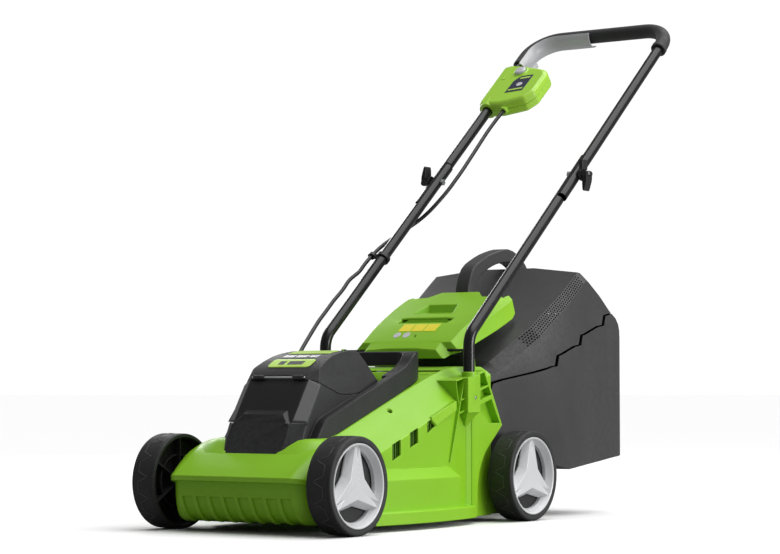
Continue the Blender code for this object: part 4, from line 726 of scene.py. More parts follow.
# ------------------------------------------------------------------ battery hood and lid
T = 0.0028
HOOD_SIDE = [(-0.2652, 0.1188), (-0.2598, 0.1300), (-0.2430, 0.1650), (-0.2352, 0.1815), (-0.1945, 0.2385), (-0.1850, 0.2462), (-0.1720, 0.2545),
             (-0.1560, 0.2630), (-0.1390, 0.2700), (-0.1220, 0.2746), (-0.1050, 0.2775), (-0.0900, 0.2794), (-0.0760, 0.2800), (-0.0680, 0.2797), (-0.0620, 0.2765), (-0.0285, 0.2305), (0.0147, 0.2170), (0.0147, 0.1188)]


def hood_side(t=0.0):
    if not t:
        return HOOD_SIDE
    centre = np.array([-0.12, 0.16])
    points = [np.array(p) for p in HOOD_SIDE]
    moved = []
    for i, p in enumerate(points):
        a, b = points[i - 1], points[(i + 1) % len(points)]
        d1, d2 = (p - a) / np.linalg.norm(p - a), (b - p) / np.linalg.norm(b - p)
        n1, n2 = np.array([-d1[1], d1[0]]), np.array([-d2[1], d2[0]])
        if np.dot(n1, centre - p) < 0:
            n1 = -n1
        if np.dot(n2, centre - p) < 0:
            n2 = -n2
        n = n1 + n2
        n /= np.linalg.norm(n)
        moved.append(tuple(p + n * t / max(0.4, float(np.dot(n, n1)))))
    return moved


def beyond(p1, p2, p3, t=0.0, low=-1.0, high=1.0):
    """Everything outside the plane through three points, between two heights."""
    p1, p2, p3 = (np.array(p) for p in (p1, p2, p3))
    n = np.cross(p2 - p1, p3 - p1)
    n /= np.linalg.norm(n)
    n = n if n[0] > 0 else -n
    u = (p2 - p1) / np.linalg.norm(p2 - p1)
    v = np.cross(n, u)
    c = (p1 + p2 + p3) / 3 - n * t
    ring = [c + u * a + v * b for a, b in ((-0.2, -0.2), (0.2, -0.2), (0.2, 0.2), (-0.2, 0.2))]
    tool = loft([[tuple(q) for q in ring], [tuple(q + n * 0.2) for q in ring]])
    return tool if low == -1.0 and high == 1.0 else common(tool, box(-0.3, 0.3, -0.5, 0.2, low, high))


STRIP = ((0.0565, -0.2360, 0.1695), (0.0565, -0.1927, 0.2375), (0.0760, -0.2227, 0.1680))
FOOT = ((0.0555, -0.2425, 0.1660), (0.0545, -0.2645, 0.1205), (0.0760, -0.2227, 0.1680))


def hood_middle(t=0.0):
    side = prism(hood_side(t), "x", -0.10, 0.10)
    half = [(0.0760 - t, 0.10), (0.0755 - t, 0.2150), (0.0660 - t, 0.2500), (0.0560 - t, 0.2800), (0.0490 - t, 0.30)]
    front = prism(half + [(-x, z) for x, z in reversed(half)], "y", -0.30, 0.10)
    up = beyond(*STRIP, t, 0.1672 if not t else -1.0, 1.0)
    foot = beyond(*FOOT, t, -1.0, 0.1673 if not t else 1.0)
    return cut(common(side, front), up, mirrored(up), foot, mirrored(foot))


middle = hood_middle()
# the front above the ridge is set back, which leaves the nose proud of it
panel_gone = prism([(-0.2555, 0.1500), (-0.2484, 0.1500), (-0.2360, 0.1695), (-0.1927, 0.2375), (-0.1962, 0.2410), (-0.2555, 0.2410)], "x", -0.0563, 0.0563)
panel_gone_in = prism([(-0.33, 0.05), (-0.3100, 0.05), (-0.2327, 0.1695), (-0.1894, 0.2375), (-0.1894, 0.2440), (-0.33, 0.2440)], "x", -0.12, 0.12)
middle_in = cut(hood_middle(T), panel_gone_in)


def nose_ring(y):
    g = (y + 0.2358) * 0.55
    half = [(0.0900, 0.05), (0.0900, 0.1665 + 0.25 * g), (0.0558 + 0.80 * g, 0.1665 + 0.25 * g), (0.0385 + 0.35 * g, 0.1805 + g)]
    return [(x, y, z) for x, z in half] + [(-x, y, z) for x, z in reversed(half)]


nose = loft([nose_ring(y) for y in (-0.2560, -0.2500, -0.2450, -0.2400, -0.2358, -0.2310, -0.2250, -0.2150, -0.2000)])
middle_front = cut(middle, cut(panel_gone, nose))
ARM_SIDE = [(-0.2360, 0.1188), (-0.2182, 0.1435), (-0.2030, 0.1640), (-0.1956, 0.1715), (-0.1870, 0.1760), (0.0080, 0.2505), (0.0200, 0.2560), (0.0310, 0.2640), (0.0400, 0.2725), (0.0500, 0.2785), (0.0620, 0.2803),
            (0.0720, 0.2803), (0.0790, 0.2775), (0.0825, 0.2710), (0.0830, 0.2620), (0.0825, 0.2417), (0.0520, 0.2310), (0.0152, 0.2172), (0.0147, 0.1188)]
arms = prism(ARM_SIDE, "x", -0.0917, 0.0917)
right_plan = [(0.0917, -0.30), (0.0917, 0.0350), (0.0908, 0.0460), (0.0880, 0.0570), (0.0830, 0.0665), (0.0760, 0.0735), (0.0670, 0.0785), (0.0560, 0.0815), (0.0440, 0.0828)]
arms = common(arms, prism(right_plan + [(-x, y) for x, y in reversed(right_plan)], "z", 0.05, 0.35))
hole_plan = [(0.0700, 0.0152), (0.0700, 0.0330), (0.0680, 0.0420), (0.0630, 0.0490), (0.0550, 0.0530), (0.0450, 0.0545)]
grip_hole = common(prism([(0.0152, 0.2100), (0.0152, 0.2580), (0.0480, 0.2580), (0.0900, 0.2560), (0.0900, 0.2100)], "x", -0.0700, 0.0700), box(-0.08, 0.08, 0.0, 0.1, 0.2, 0.27))
grip_well = common(prism([(-0.0290, 0.2305), (-0.070, 0.32), (0.0560, 0.32), (0.0560, 0.2500), (0.0147, 0.2170)], "x", -0.0700, 0.0700),
                   prism(hole_plan + [(-x, y) for x, y in reversed(hole_plan)] + [(-0.0700, -0.08), (0.0700, -0.08)], "z", 0.20, 0.33))
arm_hollow = prism([(-0.2290, 0.10), (-0.2290, 0.1210), (-0.2010, 0.1570), (-0.1870, 0.1700), (0.0115, 0.2385), (0.0115, 0.10)], "x", -0.0888, 0.0888)
parting = [(-0.1985, 0.2340), (-0.1930, 0.2330), (-0.1723, 0.2239), (-0.1411, 0.2118), (-0.1150, 0.2106), (-0.0881, 0.2129), (-0.0450, 0.2240), (-0.0300, 0.2290), (-0.0200, 0.2290), (-0.0200, 0.33), (-0.1985, 0.33)]
parting_gap = [(y - (0.0004 if i == 0 else 0), z - 0.0006) for i, (y, z) in enumerate(parting[:8])] + [(-0.0190, 0.2284), (-0.0190, 0.34), (-0.1989, 0.34)]
skirt_box = prism([(-0.30, 0.05), (0.0118, 0.05), (0.0118, 0.30), (-0.30, 0.30)], "x", -0.12, 0.12)
hollow = common(join(middle_in, arm_hollow, box(-0.0545, 0.0545, -0.2580, 0.0118, 0.10, 0.125)), skirt_box)
groove_lid = rod((-0.0500, *LID_AXIS), (0.0500, *LID_AXIS), 0.0044, 24)
lid_groove = rod((-0.0300, *LID_AXIS), (0.0300, *LID_AXIS), 0.0044, 24)
knuckles = [rod((s * 0.0290, *LID_AXIS), (s * 0.0480, *LID_AXIS), 0.0038, 24) for s in (1, -1)]
pin_bore = rod((-0.0535, *LID_AXIS), (0.0535, *LID_AXIS), 0.0017, 16)
cable_hole = rod((-0.0960, -0.0340, 0.2140), (-0.0800, -0.0340, 0.2140), 0.0042, 24)
hood = cut(join(middle_front, cut(rounded(arms, 0.0022, 22, 3), grip_well)), grip_hole, prism(parting_gap, "x", -0.0800, 0.0800))
hood = cut(hood, hollow, cable_hole, groove_lid, pin_bore)
piece("hood_cover", hood, "black", "deck", ["battery_hood"], bevel=0.0009, angle=24, sharp=30)
lid = cut(common(middle, prism(parting, "x", -0.0800, 0.0800)), middle_in, lid_groove)
lid = cut(join(lid, *knuckles), pin_bore)
piece("lid_cover", lid, "lid", "lid", ["battery_lid"], bevel=0.0008, angle=20, sharp=30)

# the two pale grey plates on the hood's front corner chamfers: their pale grey is a painted highlight for the light on
# those facets
corner_highlights = []
p1, p2, p3 = (np.array(q) for q in STRIP)
nrm = np.cross(p2 - p1, p3 - p1)
nrm /= np.linalg.norm(nrm)
nrm = nrm if nrm[0] > 0 else -nrm
for s in (1, -1):
    u = (p2 - p1)
    w = (p3 - p1)
    low = [p1 + u * a + w * b for a, b in ((0.015, 0.04), (0.95, 0.04), (0.84, 0.93), (0.02, 0.94))]
    high = [p1 + u * a + w * b for a, b in ((0.03, 0.07), (0.93, 0.07), (0.82, 0.90), (0.035, 0.91))]
    shape = loft([[tuple(q - nrm * 0.0010) for q in low], [tuple(q + nrm * 0.0003) for q in low], [tuple(q + nrm * 0.0007) for q in high]])
    corner_highlights.append(shape if s > 0 else mirrored(shape))
piece("hood_corner_highlights", loose(*corner_highlights), "strip", "deck", bevel=0.0002, angle=10)


def strip(line, low, high, x0, x1):
    line = [np.array(p) for p in line]
    normals = []
    for i in range(len(line)):
        parts = []
        if i:
            parts.append(line[i] - line[i - 1])
        if i < len(line) - 1:
            parts.append(line[i + 1] - line[i])
        parts = [np.array([-d[1], d[0]]) / np.linalg.norm(d) for d in parts]
        n = sum(parts) / len(parts)
        normals.append(n / np.dot(n, parts[0]))
    top = [tuple(p + n * high) for p, n in zip(line, normals)]
    bottom = [tuple(p + n * low) for p, n in zip(line, normals)]
    return prism(top + bottom[::-1], "x", x0, x1)


def on_lid(y0, y1, low, high, x0, x1):
    rows = [(y, float(np.interp(y, [p[0] for p in HOOD_SIDE[4:15]], [p[1] for p in HOOD_SIDE[4:15]]))) for y in np.linspace(y0, y1, 9)]
    return strip(rows, low, high, x0, x1)


def rounded_plan(x0, x1, y0, y1, r):
    out = []
    for cx, cy, a0 in ((x1 - r, y1 - r, 0), (x0 + r, y1 - r, 90), (x0 + r, y0 + r, 180), (x1 - r, y0 + r, 270)):
        out += [(cx + r * math.cos(math.radians(a0 + 15 * k)), cy + r * math.sin(math.radians(a0 + 15 * k))) for k in range(7)]
    return prism(out, "z", 0.20, 0.34)


badge = common(on_lid(-0.1800, -0.1480, -0.0004, 0.0010, -0.0440, 0.0440), rounded_plan(-0.0410, 0.0410, -0.1745, -0.1510, 0.0060))
badge_high = common(on_lid(-0.1300, -0.0850, -0.0004, 0.0010, -0.0440, 0.0440), rounded_plan(-0.0400, 0.0400, -0.1230, -0.0900, 0.0060))
piece("badge_plate", loose(badge, badge_high), "badge", "lid", ["lid_badge"], bevel=0.0003, angle=30)
piece("badge_band", loose(*[on_lid(-0.1430, -0.1310, 0.0000, 0.0006, x0, x1) for x0, x1 in ((-0.0340, -0.0130), (-0.0090, 0.0130), (0.0170, 0.0340))]), "white", "lid", bevel=0.0002, angle=30)
piece("badge_marks", loose(on_lid(-0.1680, -0.1580, 0.0008, 0.0013, -0.0240, -0.0120), on_lid(-0.1680, -0.1580, 0.0008, 0.0013, -0.0060, 0.0240)), "badge_dark", "lid", bevel=0.0002, angle=30)

dressed("lid_hinge_pin", "steel")
dressed("battery_pack", "dark", 0.0016)
dressed("terminal_block", "small", 0.0008)
dressed("control_board", "board", 0.0002)
dressed("safety_key", "red", 0.0010)

# ------------------------------------------------------------------ flap, its rod and its spring
FLAP = [  # y, half width, top, lowest edge
    (0.1336, 0.0830, 0.2822, 0.2690), (0.1344, 0.0830, 0.2840, 0.2690), (0.1500, 0.0840, 0.2962, 0.2745),
    (0.1512, 0.1020, 0.2972, 0.2790), (0.1650, 0.1028, 0.3066, 0.2825), (0.1820, 0.1038, 0.3180, 0.2885), (0.2000, 0.1050, 0.3285, 0.2960), (0.2250, 0.1066, 0.3418, 0.3055), (0.2550, 0.1080, 0.3570, 0.3170), (0.2800, 0.1087, 0.3682, 0.3275), (0.3040, 0.1090, 0.3780, 0.3380), (0.3175, 0.1060, 0.3840, 0.3480)]


def flap_ring(y, w, zt, zb, t=0.0):
    drop = 0.5 * t
    half = [(w + 0.006 - t, zb - (0.03 if t else 0)), (w - t, zt - 0.012 - drop), (w - 0.012 - drop, zt - t), (0.35 * w, zt + 0.003 - t)]
    return [(x, y, z) for x, z in half] + [(-x, y, z) for x, z in reversed(half)]


flap_out = loft([flap_ring(*s) for s in FLAP])
inner_rows = [(0.1368, 0.0830, 0.2850, 0.2700), (0.1530, 0.0838, 0.2975, 0.2745), (0.1545, 0.1020, 0.2985, 0.2790), (0.1700, 0.1030, 0.3092, 0.2840),
              (0.2000, 0.1050, 0.3285, 0.2960), (0.2550, 0.1080, 0.3565, 0.3170), (0.3040, 0.1090, 0.3775, 0.3380), (0.3300, 0.1040, 0.3890, 0.3480)]
flap_in = loft([flap_ring(*s, t=0.003) for s in inner_rows])
# the two steps pressed into the top, and the boxes under them
pocket_hull = prism([(0.2260, 0.3380), (0.2260, 0.3450), (0.2680, 0.3640), (0.2680, 0.3400)], "x", -0.0480, 0.0480)
step_hull = prism([(0.1950, 0.3170), (0.1950, 0.3220), (0.2200, 0.3390), (0.2200, 0.3170)], "x", -0.0600, 0.0600)
pocket = loft([[(-0.0400, 0.2300, 0.3462), (0.0400, 0.2300, 0.3462), (0.0285, 0.2610, 0.3492), (-0.0285, 0.2610, 0.3492)],
               [(-0.0480, 0.2280, 0.3800), (0.0480, 0.2280, 0.3800), (0.0310, 0.2660, 0.3800), (-0.0310, 0.2660, 0.3800)]])
step = loft([[(-0.0500, 0.2000, 0.3300), (0.0500, 0.2000, 0.3300), (0.0520, 0.2155, 0.3300), (-0.0520, 0.2155, 0.3300)],
             [(-0.0520, 0.1960, 0.3600), (0.0520, 0.1960, 0.3600), (0.0600, 0.2185, 0.3600), (-0.0600, 0.2185, 0.3600)]])
eye_hole = rod((0.0100, 0.1620, 0.28), (0.0100, 0.1620, 0.32), 0.0026, 20)
notches = [prism([(0.3010, 0.36), (0.3300, 0.36), (0.3300, 0.42), (0.3010, 0.42)], "x", *sorted((s * 0.0700, s * 0.1300))) for s in ()]
lugs = [cut(prism([(0.1482, 0.2792), (0.1500, 0.2774), (0.1568, 0.2774), (0.1592, 0.2792), (0.1622, 0.3005), (0.1486, 0.2920)], "x", *sorted((s * 0.0600, s * 0.0665))), rod((s * 0.05, *FLAP_AXIS), (s * 0.08, *FLAP_AXIS), 0.0027, 24)) for s in (1, -1)]
flap = join(cut(flap_out, flap_in), common(join(pocket_hull, step_hull), flap_out), *lugs)
rear_notch = prism([(0.0375, 0.3300), (0.0375, 0.3185), (0.0560, 0.2990), (0.0985, 0.2990), (0.0985, 0.3300)], "z", 0.3620, 0.45)
flap = cut(flap, pocket, step, eye_hole, *pair(rear_notch), rod((-0.095, *FLAP_AXIS), (0.095, *FLAP_AXIS), 0.0026, 16))
piece("flap_cover", flap, "flap", "flap", ["discharge_flap"], bevel=0.0011, angle=24, sharp=30)


def on_flap(y0, y1, low, high, x0, x1):
    rows = [(y, float(np.interp(y, [p[0] for p in FLAP], [p[2] for p in FLAP])) + 0.003) for y in np.linspace(y0, y1, 5)]
    return strip(rows, low, high, x0, x1)


patches = [on_flap(0.1745, 0.1945, -0.0012, 0.0004, x0, x1) for x0, x1 in ((-0.0330, -0.0095), (-0.0075, 0.0160), (0.0180, 0.0415))]
piece("plain_label", loose(*patches), "label", "flap", bevel=0.0001, angle=30)
discs = [common(on_flap(0.1545, 0.1745, -0.0012, 0.0004, x - 0.012, x + 0.012), turned([(0, 0.25), (0.0066, 0.25), (0.0066, 0.36), (0, 0.36)], (x, 0.1648, 0.0), (0, 0, 1), 32)) for x in (-0.0280, -0.0090)]
piece("plain_discs", loose(*discs), "white", "flap", bevel=0.0001, angle=30)
coil = []
for k in range(29 * 4 - 3):
    a = math.pi / 2 + 2 * math.pi * k / 32
    coil.append((0.0560 - 0.0120 * k / 112, FLAP_AXIS[0] + 0.0038 * math.cos(a), FLAP_AXIS[1] + 0.0038 * math.sin(a)))
last = coil[-1]
coil.append((last[0] - 0.0006, last[1] - 0.004, last[2] - 0.0035))
piece("flap_spring_coil", pipe(coil, 0.0006, 10), "steel", "deck", ["flap_spring"], weld=0)
piece("flap_rod", rod((-0.1315, *FLAP_AXIS), (0.1315, *FLAP_AXIS), 0.0023, 28), "small", "deck", ["flap_hinge_rod"], bevel=0.0004, angle=50, clamp=True)

# ------------------------------------------------------------------ grass collector
def crease_one(z):
    return 0.2303 + (0.2656 - z) * 0.457


def crease_two(z):
    return 0.3386 + (0.2477 - z) * 0.410


BAG = [  # y at z or a line of y against z, half width, bottom, edge height, ridge height
    (0.2085, 0.1180, 0.1130, 0.2440, 0.2500), (0.2180, 0.1185, 0.1085, 0.2475, 0.2560), (crease_one, 0.1300, 0.1085, 0.2600, 0.2760),
    (crease_two, 0.1640, 0.0805, 0.3190, 0.3340), (0.4150, 0.1658, 0.0815, 0.3840, 0.3990), (0.4630, 0.1660, 0.0870, 0.4190, 0.4330), (0.4720, 0.1660, 0.0880, 0.4180, 0.4325), (0.5100, 0.1660, 0.0920, 0.3950, 0.4120),
    (0.5450, 0.1655, 0.0960, 0.3700, 0.3850), (0.5700, 0.1650, 0.0985, 0.3560, 0.3680), (0.5800, 0.1643, 0.0992, 0.3460, 0.3570), (0.5860, 0.1630, 0.1000, 0.3350, 0.3450), (0.5895, 0.1615, 0.1005, 0.3200, 0.3290), (0.5910, 0.1600, 0.1010, 0.3000, 0.3080)]


def bag_ring(y, w, zb, zt, zc, t=0.0, dy=0.0):
    side = [(w - t, zb + t)]
    for k in range(1, 8):
        side.append((w - t, zb + t + (zt - 0.012 - 0.5 * t - zb - t) * k / 8))
    side += [(w - t, zt - 0.012 - 0.5 * t), (w - 0.017 - 0.4 * t, zt + 0.004 - t), (0.06, zc - t)]
    at = (lambda z: y(z)) if callable(y) else (lambda z: y)
    half = [(x, at(z) + dy, z) for x, z in side]
    # the top runs straight across
    return half + [(-x, q, z) for x, q, z in reversed(half)]


bag_out = loft([bag_ring(*s) for s in BAG])
bag_in = loft([bag_ring(0.2112, *BAG[0][1:], t=0.0026)] + [bag_ring(*s, t=0.0026) for s in BAG[1:-3]] + [bag_ring(0.5830, *BAG[-3][1:], t=0.0026), bag_ring(0.5880, *BAG[-1][1:], t=0.0030)])
mouth = box(-0.0980, 0.0980, 0.20, 0.2160, 0.1180, 0.2400)


def edge_at(y):
    rows = [(0.2400, 0.2640), (0.3100, 0.3010), (0.3386 - 0.030, 0.3000), (0.4150, 0.3840), (0.4630, 0.4190)]
    return 0.0


# air slots: a band of small round holes along the upper edge of each side
def facet_point(t, across):
    """A point on the chamfer along the top of the near side; t runs 0 to 1 and across 0 to 1 from its outer edge."""
    # between crease two and the crest
    a0, a1 = np.array((0.1640, crease_two(0.3070), 0.3070)), np.array((0.1470, crease_two(0.3230), 0.3230))
    b0, b1 = np.array((0.1658, 0.4150, 0.3720)), np.array((0.1488, 0.4150, 0.3880))
    c0, c1 = np.array((0.1660, 0.4630, 0.4070)), np.array((0.1490, 0.4630, 0.4230))
    f0, f1 = np.array((0.1300, crease_one(0.2480), 0.2480)), np.array((0.1130, crease_one(0.2640), 0.2640))
    stops = [(f0, f1), (a0, a1), (b0, b1), (c0, c1)]
    lengths = [float(np.linalg.norm(q[0] - p[0])) for p, q in zip(stops, stops[1:])]
    d = t * sum(lengths)
    for (p, q), length in zip(zip(stops, stops[1:]), lengths):
        if d <= length + 1e-9:
            k = d / length
            lo, hi = p[0] + (q[0] - p[0]) * k, p[1] + (q[1] - p[1]) * k
            along = (q[0] - p[0]) / length
            over = (hi - lo) / np.linalg.norm(hi - lo)
            n = np.cross(along, over)
            n /= np.linalg.norm(n)
            return lo + (hi - lo) * across, n if n[2] > 0 else -n, along, over
        d -= length
    return None


holes_points, holes_faces = [], []
for s in (1, -1):
    for row in range(5):
        for k in range(34):
            got = facet_point(0.260 + 0.720 * (k + (0.5 if row % 2 else 0.0)) / 34, 0.10 + 0.195 * row)
            if got is None:
                continue
            c, n, along, over = got
            base = len(holes_points)
            for d in (-0.0060, 0.0030):
                for j in range(6):
                    a = 2 * math.pi * j / 6
                    q = c + n * d + along * 0.00205 * math.cos(a) + over * 0.00165 * math.sin(a)
                    holes_points.append((s * q[0], q[1], q[2]))
            holes_faces += [tuple(base + j for j in range(6)), tuple(base + 11 - j for j in range(6))]
            holes_faces += [(base + j, base + (j + 1) % 6, base + 6 + (j + 1) % 6, base + 6 + j) for j in range(6)]
shell = cut(bag_out, bag_in, mouth)
shell = cut(shell, (holes_points, holes_faces))
line = [(0.1950, 0.2010), (0.2130, 0.2070), (0.2190, 0.2290), (0.2400, 0.2350), (0.3028, 0.2475), (0.3440, 0.2575), (0.3600, 0.2590), (0.3655, 0.2765), (0.3760, 0.2790), (0.4180, 0.2930), (0.4380, 0.2960), (0.4435, 0.3130), (0.4540, 0.3150),
        (0.4970, 0.3290), (0.5180, 0.3320), (0.5235, 0.3490), (0.5340, 0.3510), (0.5620, 0.3560), (0.6100, 0.3600)]
above = prism(line + [(0.6100, 0.60), (0.1950, 0.60)], "x", -0.20, 0.20)
below_line = [(y + 0.0100, z - 0.0016) for y, z in line]
below_line = [(0.1950, below_line[0][1])] + below_line
below = prism(below_line + [(0.6200, 0.02), (0.1950, 0.02)], "x", -0.20, 0.20)
# the carry handle: a rounded band that arches over the crest; the shallow trough under it is not cut
outer_line = spline([(0.3215, 0.310), (0.3200, 0.3550), (0.3215, 0.3950), (0.3380, 0.4290), (0.3720, 0.4480), (0.4100, 0.4610), (0.4540, 0.4680), (0.4920, 0.4560), (0.5180, 0.4340), (0.5300, 0.4020)], 3)
inner_line = spline([(0.5020, 0.4000), (0.4960, 0.4240), (0.4780, 0.4380), (0.4520, 0.4440), (0.4150, 0.4390), (0.3800, 0.4260), (0.3540, 0.4080), (0.3440, 0.3850), (0.3440, 0.3200)], 3)
handle_band = rounded(prism(outer_line + inner_line, "x", -0.0140, 0.0140), 0.0035, 40, 3)
carry = cut(handle_band, bag_in)
piece("collector_cover", join(common(shell, above), carry), "bag_top", "collector", ["collector_top"], bevel=0.0007, angle=30, sharp=26, weld=1e-4, clamp=True)
piece("collector_tub", common(shell, below), "bag", "collector", ["collector_bottom"], bevel=0.0007, angle=24, sharp=26, clamp=True)

# ------------------------------------------------------------------ wheels
TYRE = [(0.0722, 0.1479), (0.0734, 0.1483), (0.0741, 0.1491), (0.0744, 0.1502), (0.0744, 0.1520), (0.0740, 0.1524), (0.0740, 0.1532), (0.0744, 0.1536), (0.0744, 0.1868), (0.0740, 0.1872), (0.0740, 0.1880), (0.0744, 0.1884), (0.0743, 0.1898), (0.0738, 0.1910), (0.0728, 0.1919), (0.0712, WHEEL_OUT), (0.0672, 0.1924), (0.0658, 0.1918), (0.0650, 0.1905), (0.0648, 0.1740),
        (0.0083, 0.1740), (0.0083, 0.1490), (0.0135, 0.1490), (0.0140, 0.1495), (0.0146, 0.1690), (0.0630, 0.1690), (0.0655, 0.1680), (0.0665, 0.1660), (0.0682, 0.1490), (0.0690, 0.1479)]


def star(s, y):
    """Three broad ridged spokes with steep flanks, a shallow valley along each and a flat hub."""
    def at(r, a, x):
        return (s * x, y + r * math.cos(a), AXLE_Z + r * math.sin(a))

    def across(r, off, a, x):
        """A point r out along direction a and off to its left."""
        return (s * x, y + r * math.cos(a) - off * math.sin(a), AXLE_Z + r * math.sin(a) + off * math.cos(a))

    verts = [at(0.0, 0.0, 0.1884), at(0.0, 0.0, 0.1752)]
    upper, lower, base, valley, tips = [], [], [], [], []

    def add(group, p):
        verts.append(p)
        group.append(len(verts) - 1)

    for k in range(3):
        a = math.radians(90 + 120 * k)
        for group, off, r, x, c_r, c_x in ((upper, 0.0046, 0.0602, 0.1884, 0.0200, 0.1892), (lower, 0.0120, 0.0580, 0.1775, 0.0300, 0.1780), (base, 0.0120, 0.0580, 0.1752, 0.0300, 0.1752)):
            add(group, across(r, -off, a, x))
            add(group, across(r, off, a, x))
            add(group, at(c_r, a + math.radians(60), c_x))
        add(valley, at(0.0330, a, 0.1880))
        add(tips, at(0.0600, a, 0.1856))
    faces, n = [], 9
    for k in range(3):
        r0, l0, c0 = upper[3 * k], upper[3 * k + 1], upper[3 * k + 2]
        before = upper[(3 * k - 1) % n]
        faces += [(0, before, valley[k]), (before, r0, valley[k]), (r0, tips[k], valley[k]), (tips[k], l0, valley[k]), (valley[k], l0, c0), (0, valley[k], c0)]
    for k in range(3):
        r0, l0, t = upper[3 * k], upper[3 * k + 1], tips[k]
        faces += [(r0, lower[3 * k], t), (lower[3 * k], lower[3 * k + 1], t), (lower[3 * k + 1], l0, t)]
    for i in range(n):
        j = (i + 1) % n
        if i % 3 != 0:
            faces += [(upper[i], upper[j], lower[j]), (upper[i], lower[j], lower[i])]
        faces.append((lower[i], lower[j], base[j], base[i]))
        faces.append((base[i], base[j], 1))
    return verts, faces


for end, y in (("front", -HALF_BASE), ("rear", HALF_BASE)):
    for side, s in (("left", 1), ("right", -1)):
        axis, c, tag = (s, 0, 0), (0, y, AXLE_Z), "_" + end + "_" + side
        body = "wheel" + tag
        tyre = turned(TYRE, c, axis, 96)
        ribs = []
        for k in range(6):
            a = 2 * math.pi * (k + 0.5) / 6
            ca, sa = math.cos(a), math.sin(a)
            quad = [(0.0120, -0.0011), (0.0670, -0.0011), (0.0670, 0.0011), (0.0120, 0.0011)]
            ribs.append(prism([(y + p * ca - q * sa, AXLE_Z + p * sa + q * ca) for p, q in quad], "x", *sorted((s * 0.1560, s * 0.1715))))
        hoop = turned([(0.0400, 0.1600), (0.0424, 0.1600), (0.0424, 0.1715), (0.0400, 0.1715)], c, axis, 48)
        piece("tyre" + tag, join(tyre, hoop, *ribs), "tyre", body, ["wheel" + tag], bevel=0.0004, angle=40, sharp=28, weld=5e-5, clamp=True)
        # the fine zig-zag line moulded round the tread, in a paler grey than the tyre: a painted highlight along the
        # groove
        zig = []
        for k in range(14):
            for f, off in ((0.0, 0.0085), (0.42, 0.0085), (0.5, 0.0085), (0.75, -0.0095)):
                if f == 0.42:
                    continue
                a = 2 * math.pi * (k + f) / 14
                zig.append((a, off))
        path = []
        m = len(zig)
        for i in range(m):
            a0, o0 = zig[i]
            a1, o1 = zig[(i + 1) % m]
            if a1 < a0:
                a1 += 2 * math.pi
            for q in range(4):
                t = q / 4
                a, o = a0 + (a1 - a0) * t, o0 + (o1 - o0) * t
                path.append((s * (0.1702 + o), y + 0.07440 * math.cos(a), AXLE_Z + 0.07440 * math.sin(a)))
        rings = []
        for i, p in enumerate(path):
            before, after = np.array(path[i - 1]), np.array(path[(i + 1) % len(path)])
            t = (after - before) / np.linalg.norm(after - before)
            out = np.array((0.0, p[1] - y, p[2] - AXLE_Z)) / 0.0744
            wide = np.cross(t, out)
            rings.append([tuple(np.array(p) + out * 0.00050 * math.cos(b) + wide * 0.00060 * math.sin(b)) for b in (2 * math.pi * j / 6 for j in range(6))])
        pts = [q for ring in rings for q in ring]
        fcs = []
        for i in range(len(rings)):
            j = (i + 1) % len(rings)
            for q in range(6):
                r = (q + 1) % 6
                fcs.append((i * 6 + q, i * 6 + r, j * 6 + r, j * 6 + q))
        piece("tread_highlight_line" + tag, (pts, fcs), "tread", body, weld=0)
        ring = turned([(0.0644, 0.1744), (0.0644, 0.1910), (0.0640, 0.1919), (0.0632, 0.1921), (0.0618, 0.1919), (0.0608, 0.1911), (0.0602, 0.1900), (0.0560, 0.1826), (0.0549, 0.1815), (0.0545, 0.1800), (0.0545, 0.1744)], c, axis, 96)
        well = turned([(0, 0.1700), (0.0125, 0.1700), (0.0125, 0.1842), (0, 0.1842)], c, axis, 32)
        piece("rim" + tag, cut(join(ring, star(s, y)), well), "rim", body, ["star_rim" + tag], bevel=0.0006, angle=22, sharp=24, weld=5e-5)
        dressed("bush" + tag, "dark", 0.0003)
        nut = turned([(0.0062, 0.1784), (0.0090, 0.1784), (0.0095, 0.1789), (0.0095, 0.1825), (0.0090, 0.1830), (0.0062, 0.1830)], c, axis, 6)
        piece("nut" + tag, nut, "steel", "deck", ["axle_nut" + tag], bevel=0.0002, angle=25)
    threads = [(0, -0.1838), (0.0042, -0.1838), (0.0050, -0.1830), (0.0050, 0.1830), (0.0042, 0.1838), (0, 0.1838)]
    piece("axle_" + end, turned(threads, (0, y, AXLE_Z), (1, 0, 0), 32), "steel", "deck", [end + "_axle"])

# ------------------------------------------------------------------ motor and blade
CX, UP = (0.0, BLADE_Y, 0.0), (0, 0, 1)
can = turned([(0.0054, 0.1188), (0.0395, 0.1188), (0.0410, 0.1200), (0.0410, 0.1585), (0.0402, 0.1605), (0.0372, 0.1668), (0.0358, 0.1680), (0.0, 0.1680), (0.0, 0.1640), (0.0054, 0.1640)], CX, UP, 64)
vents = [prism([(0.0408 * math.cos(a) - 0.0030 * math.sin(a), BLADE_Y + 0.0408 * math.sin(a) + 0.0030 * math.cos(a)), (0.0408 * math.cos(a) + 0.0030 * math.sin(a), BLADE_Y + 0.0408 * math.sin(a) - 0.0030 * math.cos(a)),
                (0.0450 * math.cos(a) + 0.0030 * math.sin(a), BLADE_Y + 0.0450 * math.sin(a) - 0.0030 * math.cos(a)), (0.0450 * math.cos(a) - 0.0030 * math.sin(a), BLADE_Y + 0.0450 * math.sin(a) + 0.0030 * math.cos(a))], "z", 0.1300, 0.1500) for a in (2 * math.pi * k / 12 for k in range(12))]
piece("motor_body", cut(can, *vents), "steel", "deck", ["motor_can"], bevel=0.0003, angle=40, clamp=True)
piece("motor_spindle", turned([(0, 0.0590), (0.0046, 0.0590), (0.0050, 0.0594), (0.0050, 0.1632), (0.0046, 0.1636), (0, 0.1636)], CX, UP, 32), "steel", "rotor", ["motor_shaft"])
vanes = []
